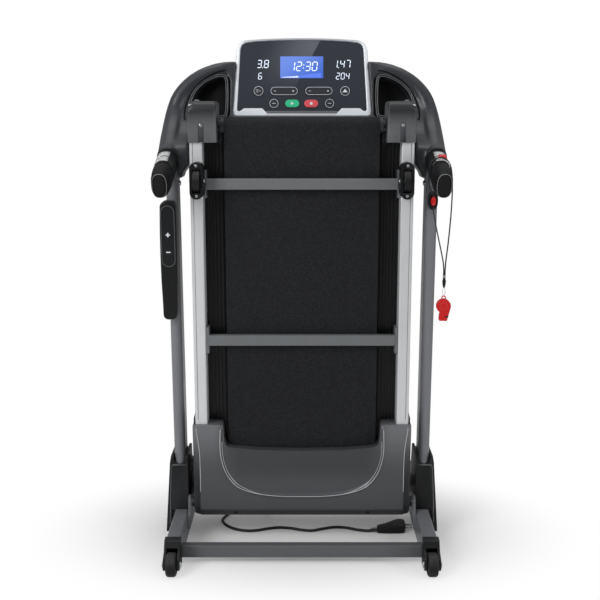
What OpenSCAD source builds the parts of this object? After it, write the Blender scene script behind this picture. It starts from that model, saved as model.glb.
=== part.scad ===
// Folding treadmill, standing folded: the deck is upright on its pivots and its
// underside faces the user's side (-Y). +Z is up, the floor is Z = 0.
// All sizes are in millimetres.

/* [Base frame] */
// Distance between the centre lines of the two floor tubes
base_track = 652; // [648:1:656]
// Width of a floor tube
tube_w = 36; // [34:1:38]
// Height of a floor tube
tube_h = 70; // [66:1:72]
// Gap between the floor and the tubes
tube_gap = 10; // [8:1:11]
// Distance of the front end of the floor tubes from the middle
base_front = 312; // [300:1:330]
// Height of the cross tubes
cross_h = 33; // [28:1:35]
// Depth of the cross tubes
cross_d = 24; // [20:1:28]
// Distance of the rear cross tube from the middle
rear_cross_y = -202; // [-210:1:-198]

/* [Transport wheels] */
// Radius of a transport wheel
wheel_r = 30; // [28:1:32]
// Width of a transport wheel
wheel_w = 26; // [24:1:28]
// Distance of the wheel axles from the middle
wheel_y = -282; // [-286:1:-280]
// Radius of the wheel axles
axle_r = 4; // [3.5:0.5:5]

/* [Uprights] */
// Width of the oval uprights
upright_w = 30; // [28:1:32]
// Depth of the oval uprights
upright_d = 70; // [66:1:72]
// Distance of the uprights from the middle plane
upright_x = 329; // [327:1:330]
// Lean of the uprights towards the user, in degrees
upright_lean = 2; // [1.5:0.1:2.5]
// Height of the top of the uprights
upright_top = 998; // [994:1:999]

/* [Deck] */
// Distance of the outer face of the frame rails from the middle plane
rail_out = 280; // [279:0.5:280]
// Width of a frame rail
rail_w = 32; // [30:1:34]
// Depth of a frame rail
rail_d = 57; // [56:0.5:57]
// Position of the deck's underside
under_y = -97; // [-98:0.5:-97]
// Top end of the frame rails
rail_top = 1158; // [1155:1:1160]
// Width of the running belt
belt_w = 390; // [380:1:392]
// Thickness of the running belt
belt_t = 2; // [1.5:0.5:2]
// Radius of the belt rollers
roller_r = 20.7; // [20.5:0.1:20.7]
// Height of the front roller (at the motor end)
front_roller_z = 215; // [213:1:217]
// Height of the rear roller
rear_roller_z = 1104.5; // [1100:0.5:1106]

/* [Fold pivot] */
// Distance of the pivot from the middle
pivot_y = -60; // [-61:0.5:-59]
// Height of the pivot
pivot_z = 104; // [103:0.5:105]
// Radius of the pivot bolts
pivot_r = 6; // [5:0.5:6]

/* [Console] */
// Width of the console at its lower edge
con_w = 368; // [366:1:370]
// Width of the console near its upper edge
con_w_top = 346; // [342:1:350]
// Height of the console face
con_h = 208; // [206:1:210]
// Lean of the console face, in degrees
con_lean = 13.8; // [12:0.1:15]
// Height of the lower edge of the console face
con_z = 1129; // [1127:1:1131]
// Distance of that edge from the middle
con_y = 58; // [56:1:60]

/* [Handlebars] */
// Distance of the grips from the middle plane
grip_x = 337; // [336:0.5:338]
// Length of a grip
grip_len = 150; // [145:1:152]
// Fall of the grips towards the user, in degrees
grip_fall = 17; // [15:0.5:18]
// Height of the middle of the shell's mouth around the grip
mouth_z = 1011; // [1009:1:1013]
// Distance of that mouth from the middle
mouth_y = -86; // [-88:0.5:-85]

/* [Cords] */
// Diameter of the mains cord
cord_d = 8; // [7:0.5:8]
// Diameter of the safety lanyard
lanyard_d = 3; // [2.5:0.5:3]

/* [Hidden] */
$fn = 48;
e = 0.01;
tube_x = base_track / 2;
tube_top = tube_gap + tube_h;
tube_in = tube_x - tube_w / 2;
tube_out = tube_x + tube_w / 2;
rail_in = rail_out - rail_w;
rail_back = under_y + rail_d;
rail_foot = 120;
roller_y = rail_back - 12;
belt_in_r = roller_r + 0.3;
crossbar_z = [560, 962];
crossbar_h = 28;
foot_z = 972;
foot_y = -126;
foot_r = 27.5;
foot_w = 18;
foot_x = 259.5;
upright_y = -14;
pan_half = 288;
pan_wall = 2.7;
pan_face = under_y - 8;
pan_foot = 78;
hood_top = 345;
split_y = -35;
motor_y = 30;
motor_z = 150;
motor_r = 42.5;
small_pulley_r = 12;
large_pulley_r = 40;
drive_x = 215;
ear_in = 300;
ear_t = 6;
plate_x = 280.5;
plate_t = 4;
cap_z = [1065, 1166];
cap_x = [211, 282.8];
lock_x = -297;
lock_z = 190;
lock_r = 3.5;
fork_half = 20.5;
cover_top = 235;
bar_r = 11;
bar_y = 102;
bar_z = 1118;
face_y = 1.5;
board_y = 14;
console_d = 26;
key_v = [66.5, 33.4];
pod_key_x = -8.5;
fit = 0.06;

// Mains cord: from its gland to the coil on the floor, then from the coil to the plug
cord_lead = [[-98, 62, 50], [-98, 62.5, 38], [-98, 66, 25], [-98, 75, 13.5], [-98, 90, 6],
    [-98, 110, 4], [-98, 130, 4], [-98, 150, 4]];
cord_run = [[-202, 150, 12], [-202, 128, 11], [-204, 106, 8], [-210, 84, 5], [-220, 62, 4],
    [-225, 40, 4], [-216, 14, 4], [-198, -8, 4], [-176, -22, 4], [-150, -29, 4],
    [-122, -26, 4], [-94, -15, 4], [-62, -8, 4], [-30, -13, 4], [0, -24, 4], [28, -28, 4],
    [58, -16, 4], [90, -6, 4], [122, -9, 4], [152, -22, 4], [180, -32, 5.5], [206, -34, 9]];
coil_c = [-150, 150];
coil_in = 40;
coil_out = 56;

// Safety lanyard: from the key to the toggle, and from the key over the grip to the toggle
lanyard_a = [[330, -97, 904], [331, -101, 890], [334.5, -112, 865], [340, -128, 832],
    [346, -145, 798], [350, -158, 772], [350.6, -165, 750.5]];
lanyard_b = [[330, -97, 928], [325, -107, 941], [318, -121, 953], [312.5, -135, 967],
    [310.5, -145, 983], [311, -149, 1000], [314, -149, 1016], [324, -149, 1027],
    [337, -149, 1031], [350, -149, 1027], [360, -150, 1015], [364, -153, 1000],
    [365.5, -158, 980], [366, -162, 950], [365, -164, 910], [362.5, -165, 865],
    [359, -165, 820], [355, -165, 780], [353.6, -165, 750.5]];
toggle_x = 352.1;
toggle_y = -165;

// ---------------------------------------------------------------- helpers

// A left piece and its mirror image on the right
module both() {
    children();
    mirror([1, 0, 0]) children();
}

// Extrude a YZ outline along X, from x0 to x1
module along_x(x0, x1) {
    translate([x0, 0, 0]) rotate([90, 0, 90]) linear_extrude(x1 - x0) children();
}

// Extrude an XZ outline along Y, from y0 to y1
module along_y(y0, y1) {
    translate([0, y1, 0]) rotate([90, 0, 0]) linear_extrude(y1 - y0) children();
}

// Cylinder along X
module rod_x(x0, x1, r, y, z) {
    translate([x0, y, z]) rotate([0, 90, 0]) cylinder(r = r, h = x1 - x0);
}

// Cylinder along Y
module rod_y(y0, y1, r, x, z) {
    translate([x, y1, z]) rotate([90, 0, 0]) cylinder(r = r, h = y1 - y0);
}

// Rounded rectangle between two corners
module rrect(a, b, r) {
    translate([a[0] + r, a[1]]) square([b[0] - a[0] - 2 * r, b[1] - a[1]]);
    translate([a[0], a[1] + r]) square([b[0] - a[0], b[1] - a[1] - 2 * r]);
    for (x = [a[0] + r, b[0] - r], y = [a[1] + r, b[1] - r])
        translate([x, y]) circle(r);
}

// Slot shape: a rectangle with round ends, long in Y, centred
module stadium(w, h) {
    square([w, h - w], center = true);
    for (s = [-1, 1]) translate([0, s * (h - w) / 2]) circle(w / 2);
}

// Points of an arc
function arc(c, r, a0, a1, n = 8) =
    [for (i = [0:n]) c + r * [cos(a0 + (a1 - a0) * i / n), sin(a0 + (a1 - a0) * i / n)]];

// A point at t (0 to 1) between b and c of a Catmull-Rom curve
function smooth_at(a, b, c, d, t) = 0.5 * (2 * b + (c - a) * t + (2 * a - 5 * b + 4 * c - d) * t * t
    + (3 * b - a - 3 * c + d) * t * t * t);

// The route through its own points, with k steps between each two of them
function smooth(p, k) = [for (i = [0:len(p) - 2], j = [0:k - 1])
    smooth_at(p[max(i - 1, 0)], p[i], p[i + 1], p[min(i + 2, len(p) - 1)], j / k), p[len(p) - 1]];

function unit(v) = v / norm(v);

// A flat route moved sideways by w
function beside(p, w) = [for (i = [0:len(p) - 1])
    let (t = unit(p[min(i + 1, len(p) - 1)] - p[max(i - 1, 0)])) p[i] + w * [-t[1], t[0]]];

// Cord swept along a route: one ring of n points at every step
module cord(p, d, side, n = 8, k = 1) {
    q = smooth(p, k);
    m = len(q);
    pts = [for (i = [0:m - 1]) let (dir = unit(q[min(i + 1, m - 1)] - q[max(i - 1, 0)]),
            a = unit(cross(dir, side)), b = cross(dir, a))
        for (j = [0:n - 1]) q[i] + d / 2 * (cos(360 * j / n) * a + sin(360 * j / n) * b)];
    faces = concat([[for (j = [0:n - 1]) j]],
        [for (i = [0:m - 2], j = [0:n - 1])
            [i * n + j, (i + 1) * n + j, (i + 1) * n + (j + 1) % n, i * n + (j + 1) % n]],
        [[for (j = [0:n - 1]) m * n - 1 - j]]);
    polyhedron(pts, faces);
}

// Cylinder between two points that have the same X
module rod_between(x, a, b, r) {
    translate([x, a[0], a[1]]) rotate([-atan2(b[0] - a[0], b[1] - a[1]), 0, 0])
        cylinder(r = r, h = norm(b - a));
}

// Outline of a belt that runs straight between two round pulleys
module belt_outline(c1, r1, c2, r2) {
    away = c2 - c1;
    a = atan2(away[1], away[0]);
    t = acos((r1 - r2) / norm(away));
    polygon(concat(arc(c1, r1, a + t, a + 360 - t, 32), arc(c2, r2, a - t, a + t, 32)));
}

// Frame of an upright: the origin is where its axis meets the floor tube's top
module leaning(side) {
    translate([side * upright_x, upright_y, tube_top]) rotate([upright_lean, 0, 0]) children();
}

// Frame of the console face: X to the right, Y into the console, Z up the face
module on_console() {
    translate([0, con_y, con_z]) rotate([-con_lean, 0, 0]) children();
}

// Frame of a grip: the origin is in the shell's mouth, -Y runs out along the grip
module on_grip(side) {
    translate([side * grip_x, mouth_y, mouth_z]) rotate([grip_fall, 0, 0]) children();
}

// ------------------------------------------------------------- base frame

module base_side_tubes() color("dimgray") {
    both() {
        along_y(wheel_y + 50, base_front - 6) difference() {
            rrect([-tube_out, tube_gap], [-tube_in, tube_top], 5);
            rrect([-tube_out + 2, tube_gap + 2], [-tube_in - 2, tube_top - 2], 3);
        }
        // Ear that carries the fold pivot, and the block that joins it to the tube
        translate([-tube_in, pivot_y - 36, tube_gap + 32])
            cube([tube_in - ear_in - ear_t, 72, 34]);
        along_x(-ear_in - ear_t, -ear_in) difference() {
            union() {
                translate([pivot_y, pivot_z]) circle(18);
                polygon([[pivot_y - 36, 40], [pivot_y + 36, 40], [pivot_y + 17, pivot_z + 6],
                    [pivot_y - 17, pivot_z + 6]]);
            }
            translate([pivot_y, pivot_z]) circle(pivot_r + fit);
        }
    }
    // Arm and guide of the fold lock, on the left only
    difference() {
        union() {
            along_x(-ear_in - ear_t, -ear_in)
                polygon([[pivot_y + 34, 40], [32, 40], [32, lock_z + 10], [8, lock_z + 10],
                    [8, 120], [pivot_y + 20, pivot_z - 10]]);
            rod_y(8, 32, lock_r + 2, lock_x, lock_z);
        }
        rod_y(0, 40, lock_r + fit, lock_x, lock_z);
    }
}

module base_cross_tubes() color("gray")
    for (y = [rear_cross_y - cross_d / 2, base_front - 50])
        along_x(-tube_in, tube_in) difference() {
            rrect([y, tube_gap + 5], [y + cross_d, tube_gap + 5 + cross_h], 3);
            rrect([y + 2, tube_gap + 7], [y + cross_d - 2, tube_gap + 3 + cross_h], 1.5);
        }

module frame_bolts() color("silver") both() {
    // Pivot bolt with its nut inside the deck's side plate
    rod_x(-ear_in - ear_t, -plate_x + 0.5, pivot_r, pivot_y, pivot_z);
    rod_x(-plate_x + 0.4, -plate_x + 7, 11, pivot_y, pivot_z, $fn = 6);
    // Wheel axle with its head and nut
    rod_x(-tube_x - fork_half - 3, -tube_x + fork_half + 4, axle_r, wheel_y, wheel_r);
    rod_x(-tube_x - fork_half - 3, -tube_x - fork_half, 7, wheel_y, wheel_r);
    rod_x(-tube_x + fork_half, -tube_x + fork_half + 4, 7, wheel_y, wheel_r, $fn = 6);
    // Screw in the inner side of the upright, under the console shell
    leaning(-1) rod_x(upright_w / 2, upright_w / 2 + 5, 6, 0, 882);
}

module wheel_forks() color("#333436") both() difference() {
    along_x(-tube_x - fork_half, -tube_x + fork_half)
        polygon(concat([[wheel_y + 50, tube_top + 2]],
            arc([wheel_y + 32, tube_top - 4], 6, 90, 180, 4),
            [[wheel_y + 16, 58], [wheel_y - 8, 46]], arc([wheel_y, wheel_r], 15, 140, 285, 10),
            [[wheel_y + 42, tube_gap + 2], [wheel_y + 50, tube_gap]]));
    translate([-tube_x - wheel_w / 2 - 1, wheel_y - 40, -1]) cube([wheel_w + 2, 76, 65]);
    rod_x(-400, -300, axle_r + 0.05, wheel_y, wheel_r);
}

// Wheel on an axle along X: bore, hub, web and rounded tread
module wheel(r, w, bore, edge, x, y, z) {
    h = w / 2;
    half = concat([[bore, h - 0.8], [r * 0.36, h - 0.8], [r * 0.4, h - 3], [r * 0.66, h - 3],
        [r * 0.7, h]], arc([r - edge, h - edge], edge, 90, 0, 6));
    translate([x, y, z]) rotate([0, 90, 0]) rotate_extrude()
        polygon(concat(half, [for (i = [len(half) - 1:-1:0]) [half[i][0], -half[i][1]]]));
}

module base_wheel_left() color("#2d2e30")
    wheel(wheel_r, wheel_w, axle_r + fit, 7, -tube_x, wheel_y, wheel_r);

module base_wheel_right() color("#2d2e30")
    wheel(wheel_r, wheel_w, axle_r + fit, 7, tube_x, wheel_y, wheel_r);

module front_feet() color("#26272a") both() {
    along_y(base_front - 6, base_front) rrect([-tube_out, 2], [-tube_in, tube_top], 5);
    translate([-tube_out + 3, base_front - 72, 0]) cube([tube_w - 6, 72, tube_gap]);
}

// --------------------------------------------------------------- uprights

module uprights() color("#6f7073") both() difference() {
    leaning(-1) translate([0, 0, -4]) linear_extrude(upright_top - tube_top + 4) difference() {
        stadium(upright_w, upright_d);
        stadium(upright_w - 4, upright_d - 4);
    }
    translate([-400, -100, tube_top - 20]) cube([150, 200, 20]);
}

module upright_covers() color("#232428") both() difference() {
    intersection() {
        along_y(-80, 110) polygon(concat([[-353.5, 13], [-353.5, tube_top], [-307, tube_top]],
            arc([-310.5, cover_top - 3.5], 3.5, 0, 180, 6),
            [[-314, cover_top - 12], [-344.5, cover_top - 12]],
            arc([-348.5, cover_top - 4], 4, 0, 160, 6), [[-355.5, 213], [-363, 110]],
            arc([-366, 16.5], 3.5, 180, 270, 4)));
        along_x(-400, -300) polygon(concat(arc([-50, 21], 8, 180, 270, 4),
            arc([86, 21], 8, 270, 370, 5), [[74, 110]], arc([36, cover_top - 10], 10, 15, 90, 5),
            arc([-48, cover_top - 10], 10, 90, 180, 5)));
    }
    leaning(-1) translate([0, 0, -10]) linear_extrude(200)
        stadium(upright_w + 0.6, upright_d + 0.6);
    along_y(-70, -20) {
        translate([-upright_x, 224]) circle(15.2);
        translate([-upright_x - 15.2, 224]) square([30.4, 30]);
    }
    translate([-351.5, -54, tube_top - e]) cube([41.5, 92, 122]);
}

// -------------------------------------------------- console shell and bars

// Outer edge of the shell seen from the user's side, from the middle to the right arm
shell_edge = smooth([[0, 1277], [100, 1276], [181, 1272], [232, 1262], [290, 1238],
    [327, 1209], [350, 1172], [358, 1125], [363, 1075], [366, 1030], [366, 972]], 2);

// Lower edge of the shell, from the right arm to the middle
shell_under = [[308, 972], [306, 985], [291, 1006], [262, 1050], [225, 1082], [150, 1100]];

// Front view of the shell, drawn in by a share k
module shell_view(k = 0) {
    right = concat(shell_edge, shell_under);
    left = [for (i = [len(right) - 1:-1:1]) [-right[i][0], right[i][1]]];
    polygon([for (p = concat(right, left)) [p[0] * (1 - 0.3 * k), 1190 + (p[1] - 1190) * (1 - k)]]);
}

// Side view of an arm, drawn in by w
function arm_side(w) = concat(
    smooth([[-86 + w, 1046 - w], [-70, 1056 - w], [-30, 1072 - w], [12, 1098 - w],
        [40 + w, 1135 - w], [60 + w, 1180], [82 + w, 1280 - w]], 2),
    smooth([[148 - w, 1280 - w], [148 - w, 1230], [140 - w, 1150], [112 - w, 1078],
        [62 - w, 1020 + w], [2 - w, 972 + w]], 2), [[-84 + w, 972 + w]]);

// Side view of the middle of the shell, with its front and back drawn in
function core_side(front, back) = [[10 + front, 1040], [34 + front, 1105], [50 + front, 1140],
    [84 + front, 1285], [146 - back, 1285], [148 - back, 1230], [138 - back, 1145],
    [112 - back, 1078], [70 - back, 1030]];

// Side view of the hollow behind a tray
wing_hollow = [[109, 1095], [109, 1284], [141.5, 1284], [143.5, 1230], [133.5, 1145]];

// Rim of the right tray
tray_edge = [[192, 1134], [192, 1222], [202, 1234], [228, 1230], [262, 1212], [284, 1186],
    [294, 1150], [294, 1128], [286, 1122], [202, 1122]];

module console_shell() color("#4b4d52") difference() {
    intersection() {
        along_y(-90, 160) shell_view();
        union() {
            along_x(-300, 300) polygon(core_side(0, 0));
            both() along_x(-400, -290) polygon(arm_side(0));
        }
    }
    // Hollow inside the walls
    intersection() {
        along_y(-82, 150) shell_view(0.05);
        union() {
            along_x(-186, 186) polygon(core_side(28, 4));
            both() {
                along_x(-286, -185) polygon(wing_hollow);
                along_x(-360, -311) polygon(arm_side(3));
            }
        }
    }
    both() along_y(40, 104) polygon(tray_edge);
    // Seat of the console, and the opening behind it
    on_console() along_y(-60, console_d + 0.4) console_outline(-0.4);
    on_console() along_y(console_d, 42) rrect([-150, 20], [150, 120], 8);
    rod_x(-330, 330, bar_r + 0.3, bar_y, bar_z);
    for (s = [-1, 1]) {
        leaning(s) linear_extrude(upright_top - tube_top + 3)
            stadium(upright_w + 0.6, upright_d + 0.6);
        on_grip(s) rod_y(-10, 60, bar_r + 0.4, 0, 0);
        translate([s * grip_x - 26, mouth_y - 10, mouth_z - 36.5]) cube([52, 12, 75]);
    }
}

module handlebar_frame() color("silver") {
    knee = [mouth_y + 66 * cos(grip_fall), mouth_z + 66 * sin(grip_fall)];
    both() {
        on_grip(-1) rod_y(-grip_len + 14, 66, bar_r, 0, 0);
        translate([-grip_x, knee[0], knee[1]]) sphere(bar_r + 1.5);
        rod_between(-grip_x, knee, [bar_y, bar_z], bar_r - 0.5);
        // Block that joins the bar to the upright
        translate([-upright_x - 8, -60, upright_top]) cube([14, 24, 14]);
    }
    rod_x(-grip_x - 4, grip_x + 4, bar_r, bar_y, bar_z);
}

// ---------------------------------------------------------------- console

// Outline of the console face, drawn in by d
module console_outline(d = 0) {
    top = [for (i = [1:5]) let (t = 1 - i / 3)
        [(con_w_top / 2 - 30) * t, con_h - d - 7 * t * t]];
    polygon(concat(arc([con_w / 2 - 12, 12], 12 - d, -90, 0, 5),
        arc([con_w_top / 2 - 30, con_h - 37], 30 - d, 0, 80, 6), top,
        arc([30 - con_w_top / 2, con_h - 37], 30 - d, 100, 180, 6),
        arc([12 - con_w / 2, 12], 12 - d, 180, 270, 5)));
}

// Outline of the glass in the console, drawn in by d
module console_window(d = 0) {
    top = [for (i = [1:5]) let (t = 1 - i / 3) [(con_w_top / 2 - 31) * t, con_h - 7 - d - 7.5 * t * t]];
    polygon(concat(arc([con_w / 2 - 22, 20], 8 - d, -90, 0, 4),
        arc([con_w_top / 2 - 31, con_h - 34], 19.5 - d, 0, 80, 5), top,
        arc([31 - con_w_top / 2, con_h - 34], 19.5 - d, 100, 180, 5),
        arc([22 - con_w / 2, 20], 8 - d, 180, 270, 4)));
}

module console_bezel() color("lightgray") on_console() difference() {
    along_y(0, console_d) console_outline();
    along_y(-1, console_d - 3) console_window();
    along_y(console_d - 4, console_d + 1) rrect([-50, 30], [50, 90], 6);
}

// Outline of a key that is wider than it is high
module pill(w, h) rotate(90) stadium(h, w);

// All keys of the console, as holes that are larger by d
module key_holes(d) {
    for (x = [-114, 113.4]) translate([x, key_v[0]]) circle(13 + d);
    for (x = [-73.6, 72.6]) translate([x, key_v[1]]) circle(12.2 + d);
    for (x = [-46.7, 44.7]) translate([x, key_v[0]]) pill(72 + 2 * d, 22 + 2 * d);
    for (x = [-25.4, 24.4]) translate([x, key_v[1]]) pill(36.5 + 2 * d, 20 + 2 * d);
}

module console_panel() color("#1b1c20") on_console() along_y(face_y, face_y + 3) difference() {
    console_window(0.3);
    key_holes(0.5);
}

module display_board() color("royalblue") on_console() {
    along_y(face_y + 3.3, board_y) translate([-57, 100.5]) square([112.5, 59.5]);
    along_y(board_y, board_y + 1.6) translate([-150, 16]) square([300, 150]);
    for (x = [-140, 140], v = [22, 160])
        rod_y(board_y + 1.6, console_d - 3, 3, x, v);
}

module round_key(x, row, r) on_console() rod_y(face_y - 2.3, 9, r, x, key_v[row]);

module wide_key(x, row, w, h) on_console() along_y(face_y - 2.3, 9)
    translate([x, key_v[row]]) pill(w, h);

module program_key() color("#2a2b30") round_key(-114, 0, 13);
module fan_key() color("#2a2b30") round_key(113.4, 0, 13);
module mode_key() color("#2a2b30") round_key(-73.6, 1, 12.2);
module sound_key() color("#2a2b30") round_key(72.6, 1, 12.2);
module speed_rocker() color("#2a2b30") wide_key(-46.7, 0, 72, 22);
module incline_rocker() color("#2a2b30") wide_key(44.7, 0, 72, 22);
module start_key() color("mediumseagreen") wide_key(-25.4, 1, 36.5, 20);
module stop_key() color("indianred") wide_key(24.4, 1, 36.5, 20);

// ------------------------------------------------------- grips and their parts

// Slice of a grip across its length
module grip_slice(y, w, h) along_y(y - 0.5, y + 0.5) stadium(w, h);

module grips() color("#26272a") for (side = [-1, 1]) difference() {
    on_grip(side) hull($fn = 32) {
        grip_slice(20, 48, 66);
        grip_slice(-grip_len + 25, 44, 63);
        grip_slice(-grip_len + 8, 38, 55);
        grip_slice(-grip_len + 0.5, 28, 44);
    }
    translate([side * grip_x - 40, mouth_y + 1.8, mouth_z - 60]) cube([80, 60, 120]);
    on_grip(side) rod_y(-grip_len + 13.5, 40, bar_r + 0.2, 0, 0);
    // Seat of the quick stop key, in the right grip only
    if (side > 0) on_grip(side) translate([-3.4, -48.4, 21]) cube([20.8, 17.8, 30]);
}

module pulse_sensors() color("gainsboro") both() on_grip(-1) intersection() {
    along_y(-28, -11) difference() {
        stadium(51.4, 69.4);
        stadium(48.6, 66.6);
    }
    translate([-40, -40, -12]) cube([44, 40, 60]);
}

module quick_stop_key() color("crimson") on_grip(1)
    translate([-3, -48, 24]) cube([20, 17, 14]);

// -------------------------------------------------------- pod, safety key

module speed_pod() color("#333436") leaning(-1) difference() {
    along_y(-63, -28) rrect([-30, 537], [13, 843], 16);
    along_y(-64, -61) rrect([-25, 677], [8, 832], 10);
    translate([-26, -57, 560]) cube([35, 7, 262]);
    for (z = [714, 758]) rod_y(-62, -56, 10.4, pod_key_x, z);
    translate([0, 0, 500]) linear_extrude(400) stadium(upright_w + 0.4, upright_d + 0.4);
}

module pod_panel() color("#28292c") leaning(-1) difference() {
    along_y(-63, -61.1) rrect([-24.7, 677.3], [7.7, 831.7], 9.7);
    for (z = [714, 758]) rod_y(-64, -60, 10.4, pod_key_x, z);
}

module pod_plus_key() color("#3a3b3e") leaning(-1) rod_y(-64.2, -59, 10, pod_key_x, 758);

module pod_minus_key() color("#3a3b3e") leaning(-1) rod_y(-64.2, -59, 10, pod_key_x, 714);

module key_holder() color("#1e1f22") leaning(1) difference() {
    along_y(-50, -28) translate([1, 838]) stadium(21, 43);
    along_y(-51, -40.5) rrect([-4.4, 826.8], [6.4, 849.2], 2);
    translate([0, 0, 800]) linear_extrude(80) stadium(upright_w + 0.4, upright_d + 0.4);
}

module safety_key() color("crimson") leaning(1)
    along_y(-56, -41) rrect([-4.1, 827.1], [6.1, 848.9], 1.8);

module lanyard() color("#1e1f22") {
    cord(lanyard_a, lanyard_d, [1, 0, 0], 8, 1);
    cord(lanyard_b, lanyard_d, [0, 1, 0], 8, 1);
}

module lanyard_toggle() color("#1e1f22") translate([toggle_x, toggle_y, 0]) {
    translate([0, 0, 732]) cylinder(r = 3.4, h = 18);
    translate([0, 0, 714]) cylinder(r1 = 2.6, r2 = 4.6, h = 18);
    translate([0, 0, 692]) cylinder(r = 1.2, h = 22);
}

module whistle() color("crimson") {
    // Round chamber with its mouthpiece
    along_y(toggle_y - 8, toggle_y + 8) translate([toggle_x, 666]) {
        circle(18);
        polygon([[17.4, -4.6], [9, -38], [-11, -38], [-8, -16]]);
    }
    along_y(toggle_y - 2, toggle_y + 2) translate([toggle_x, 686]) circle(5);
}

// ------------------------------------------------------------------- deck

module deck_rails() color("silver") both() difference() {
    translate([0, 0, rail_foot]) linear_extrude(rail_top - rail_foot)
        difference() {
            rrect([-rail_out, under_y], [-rail_in, rail_back], 4);
            rrect([-rail_out + 2.5, under_y + 2.5], [-rail_in - 2.5, rail_back - 2.5], 2);
        }
    for (z = [front_roller_z, rear_roller_z])
        rod_x(-rail_in - 6, -rail_in + 6, pivot_r + fit, roller_y, z);
}

module deck_crossbars() color("gray") for (z = crossbar_z) {
    along_x(-rail_in + 8, rail_in - 8) difference() {
        rrect([under_y, z - crossbar_h / 2], [under_y + 20, z + crossbar_h / 2], 3);
        rrect([under_y + 2, z - crossbar_h / 2 + 2], [under_y + 18, z + crossbar_h / 2 - 2], 1.5);
    }
    // Welding plates on the inner faces of the rails
    both() along_x(-rail_in, -rail_in + 8) rrect([under_y + 2, z - 35], [under_y + 38, z + 35], 4);
}

module motor_frame() color("#3b3c3f") {
    both() difference() {
        union() {
            along_x(-plate_x - plate_t, -plate_x) rrect([under_y + 2, 88], [-24, 352], 10);
            rod_x(-plate_x - plate_t - 12, -plate_x, 14, pivot_y, pivot_z);
        }
        rod_x(-310, -270, pivot_r + fit, pivot_y, pivot_z);
    }
    // Plate that carries the motor, with a notch for the drive belt
    difference() {
        translate([-plate_x, -26, 98]) cube([2 * plate_x, 4.5, 74]);
        translate([drive_x - 11, -30, 138]) cube([22, 12, 40]);
    }
    // Flange that takes the pin of the fold lock
    difference() {
        translate([lock_x - 7, -26, lock_z - 10]) cube([6 - plate_x - lock_x, 8, 20]);
        rod_y(-30, -10, lock_r + 0.4, lock_x, lock_z);
    }
}

module deck_board() color("#6b5b48")
    translate([-245.8, -47, 262]) cube([491.6, 15.8, 802]);

module deck_cushions() color("#1b1c1e") both() for (i = [0:3])
    translate([-274, rail_back, 300 + 230 * i]) cube([20, 4, 40]);

module foot_rails() color("#2b2c2e") both() translate([0, 0, 262]) linear_extrude(802) {
    // Top flange, outer lip, web over the rail, step and the flange under the board
    translate([-280.3, -20]) square([81.3, 2]);
    translate([-280.3, -36]) square([2, 17]);
    translate([-280.3, -36]) square([34, 2]);
    translate([-247.9, -51.5]) square([1.6, 16.5]);
    translate([-247.9, -51.5]) square([48.9, 4.5]);
    for (i = [0:4]) translate([-240 + 9 * i, -56]) square([2, 5]);
}

module running_belt() color("#27282a") along_x(-belt_w / 2, belt_w / 2) difference() {
    belt_outline([roller_y, front_roller_z], belt_in_r + belt_t, [roller_y, rear_roller_z],
        belt_in_r + belt_t);
    belt_outline([roller_y, front_roller_z], belt_in_r, [roller_y, rear_roller_z], belt_in_r);
}

module roller(z) {
    rod_x(-204, 204, roller_r, roller_y, z);
    rod_x(-262, 262, pivot_r, roller_y, z);
}

module front_roller() color("silver") {
    roller(front_roller_z);
    rod_x(drive_x - 9, drive_x + 9, large_pulley_r, roller_y, front_roller_z);
}

module rear_roller() color("silver") roller(rear_roller_z);

module deck_bolts() color("silver") both() {
    // Belt tension bolts in the end caps
    translate([-263, roller_y, cap_z[1] - 6]) cylinder(r = 4, h = 8);
    translate([-263, roller_y, cap_z[1] + 0.1]) cylinder(r = 6.5, h = 3, $fn = 6);
    rod_x(-foot_x - 18.5, -foot_x + 18.5, 4, foot_y, foot_z);
}

module end_caps() color("#4a4c4f") both() difference() {
    along_y(under_y - 6, -15) polygon(concat(arc([-cap_x[1] + 18, cap_z[1] - 18], 18, 90, 180, 6),
        arc([-cap_x[1] + 4, cap_z[0] + 4], 4, 180, 270, 3),
        arc([-cap_x[0] - 4, cap_z[0] + 4], 4, 270, 360, 3),
        arc([-cap_x[0] - 10, cap_z[1] - 10], 10, 0, 90, 4)));
    translate([-rail_out - 0.4, under_y - 0.4, cap_z[0] - 1])
        cube([rail_w + 0.8, rail_d + 0.8, rail_top - cap_z[0] + 1.4]);
    rod_x(-262.5, -200, pivot_r + 0.4, roller_y, rear_roller_z);
    translate([-263, roller_y, cap_z[1] - 12]) cylinder(r = 4.1, h = 20);
    // Slot in the face
    along_y(under_y - 7, under_y + 0.5) {
        translate([-249.7, 1108]) circle(8.75);
        translate([-258.45, cap_z[0] - 1]) square([17.5, 1108 - cap_z[0] + 1]);
    }
}

module foot_roller_housings() color("#2b2c2e") both() difference() {
    along_y(foot_y - 14, under_y) translate([-foot_x, 973]) stadium(34, 91);
    translate([-foot_x - foot_w / 2 - 1, foot_y - 30, foot_z - 29])
        cube([foot_w + 2, 60, 58]);
    rod_x(-300, -200, 4.1, foot_y, foot_z);
}

module foot_roller_left() color("#1e1f21")
    wheel(foot_r, foot_w, 4 + fit, 3, -foot_x, foot_y, foot_z);

module foot_roller_right() color("#1e1f21")
    wheel(foot_r, foot_w, 4 + fit, 3, foot_x, foot_y, foot_z);

// Right half of the pan's outline, drawn in by w
function pan_half_points(w) = concat([[0, pan_foot + w]], arc([pan_half - 10, pan_foot + 10], 10 - w, -90, 0, 5),
    arc([pan_half - 17, 317], 17 - w, 0, 90, 6), arc([213.6, 325], 9 - w, 90, 180, 4),
    [[204.6 + w, 290], [202 + w, 279], [194, 272 - w], [110, 264 - w], [0, 262 - w]]);

module pan_view(w) {
    half = pan_half_points(w);
    polygon(concat(half, [for (i = [len(half) - 2:-1:1]) [-half[i][0], half[i][1]]]));
}

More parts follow.
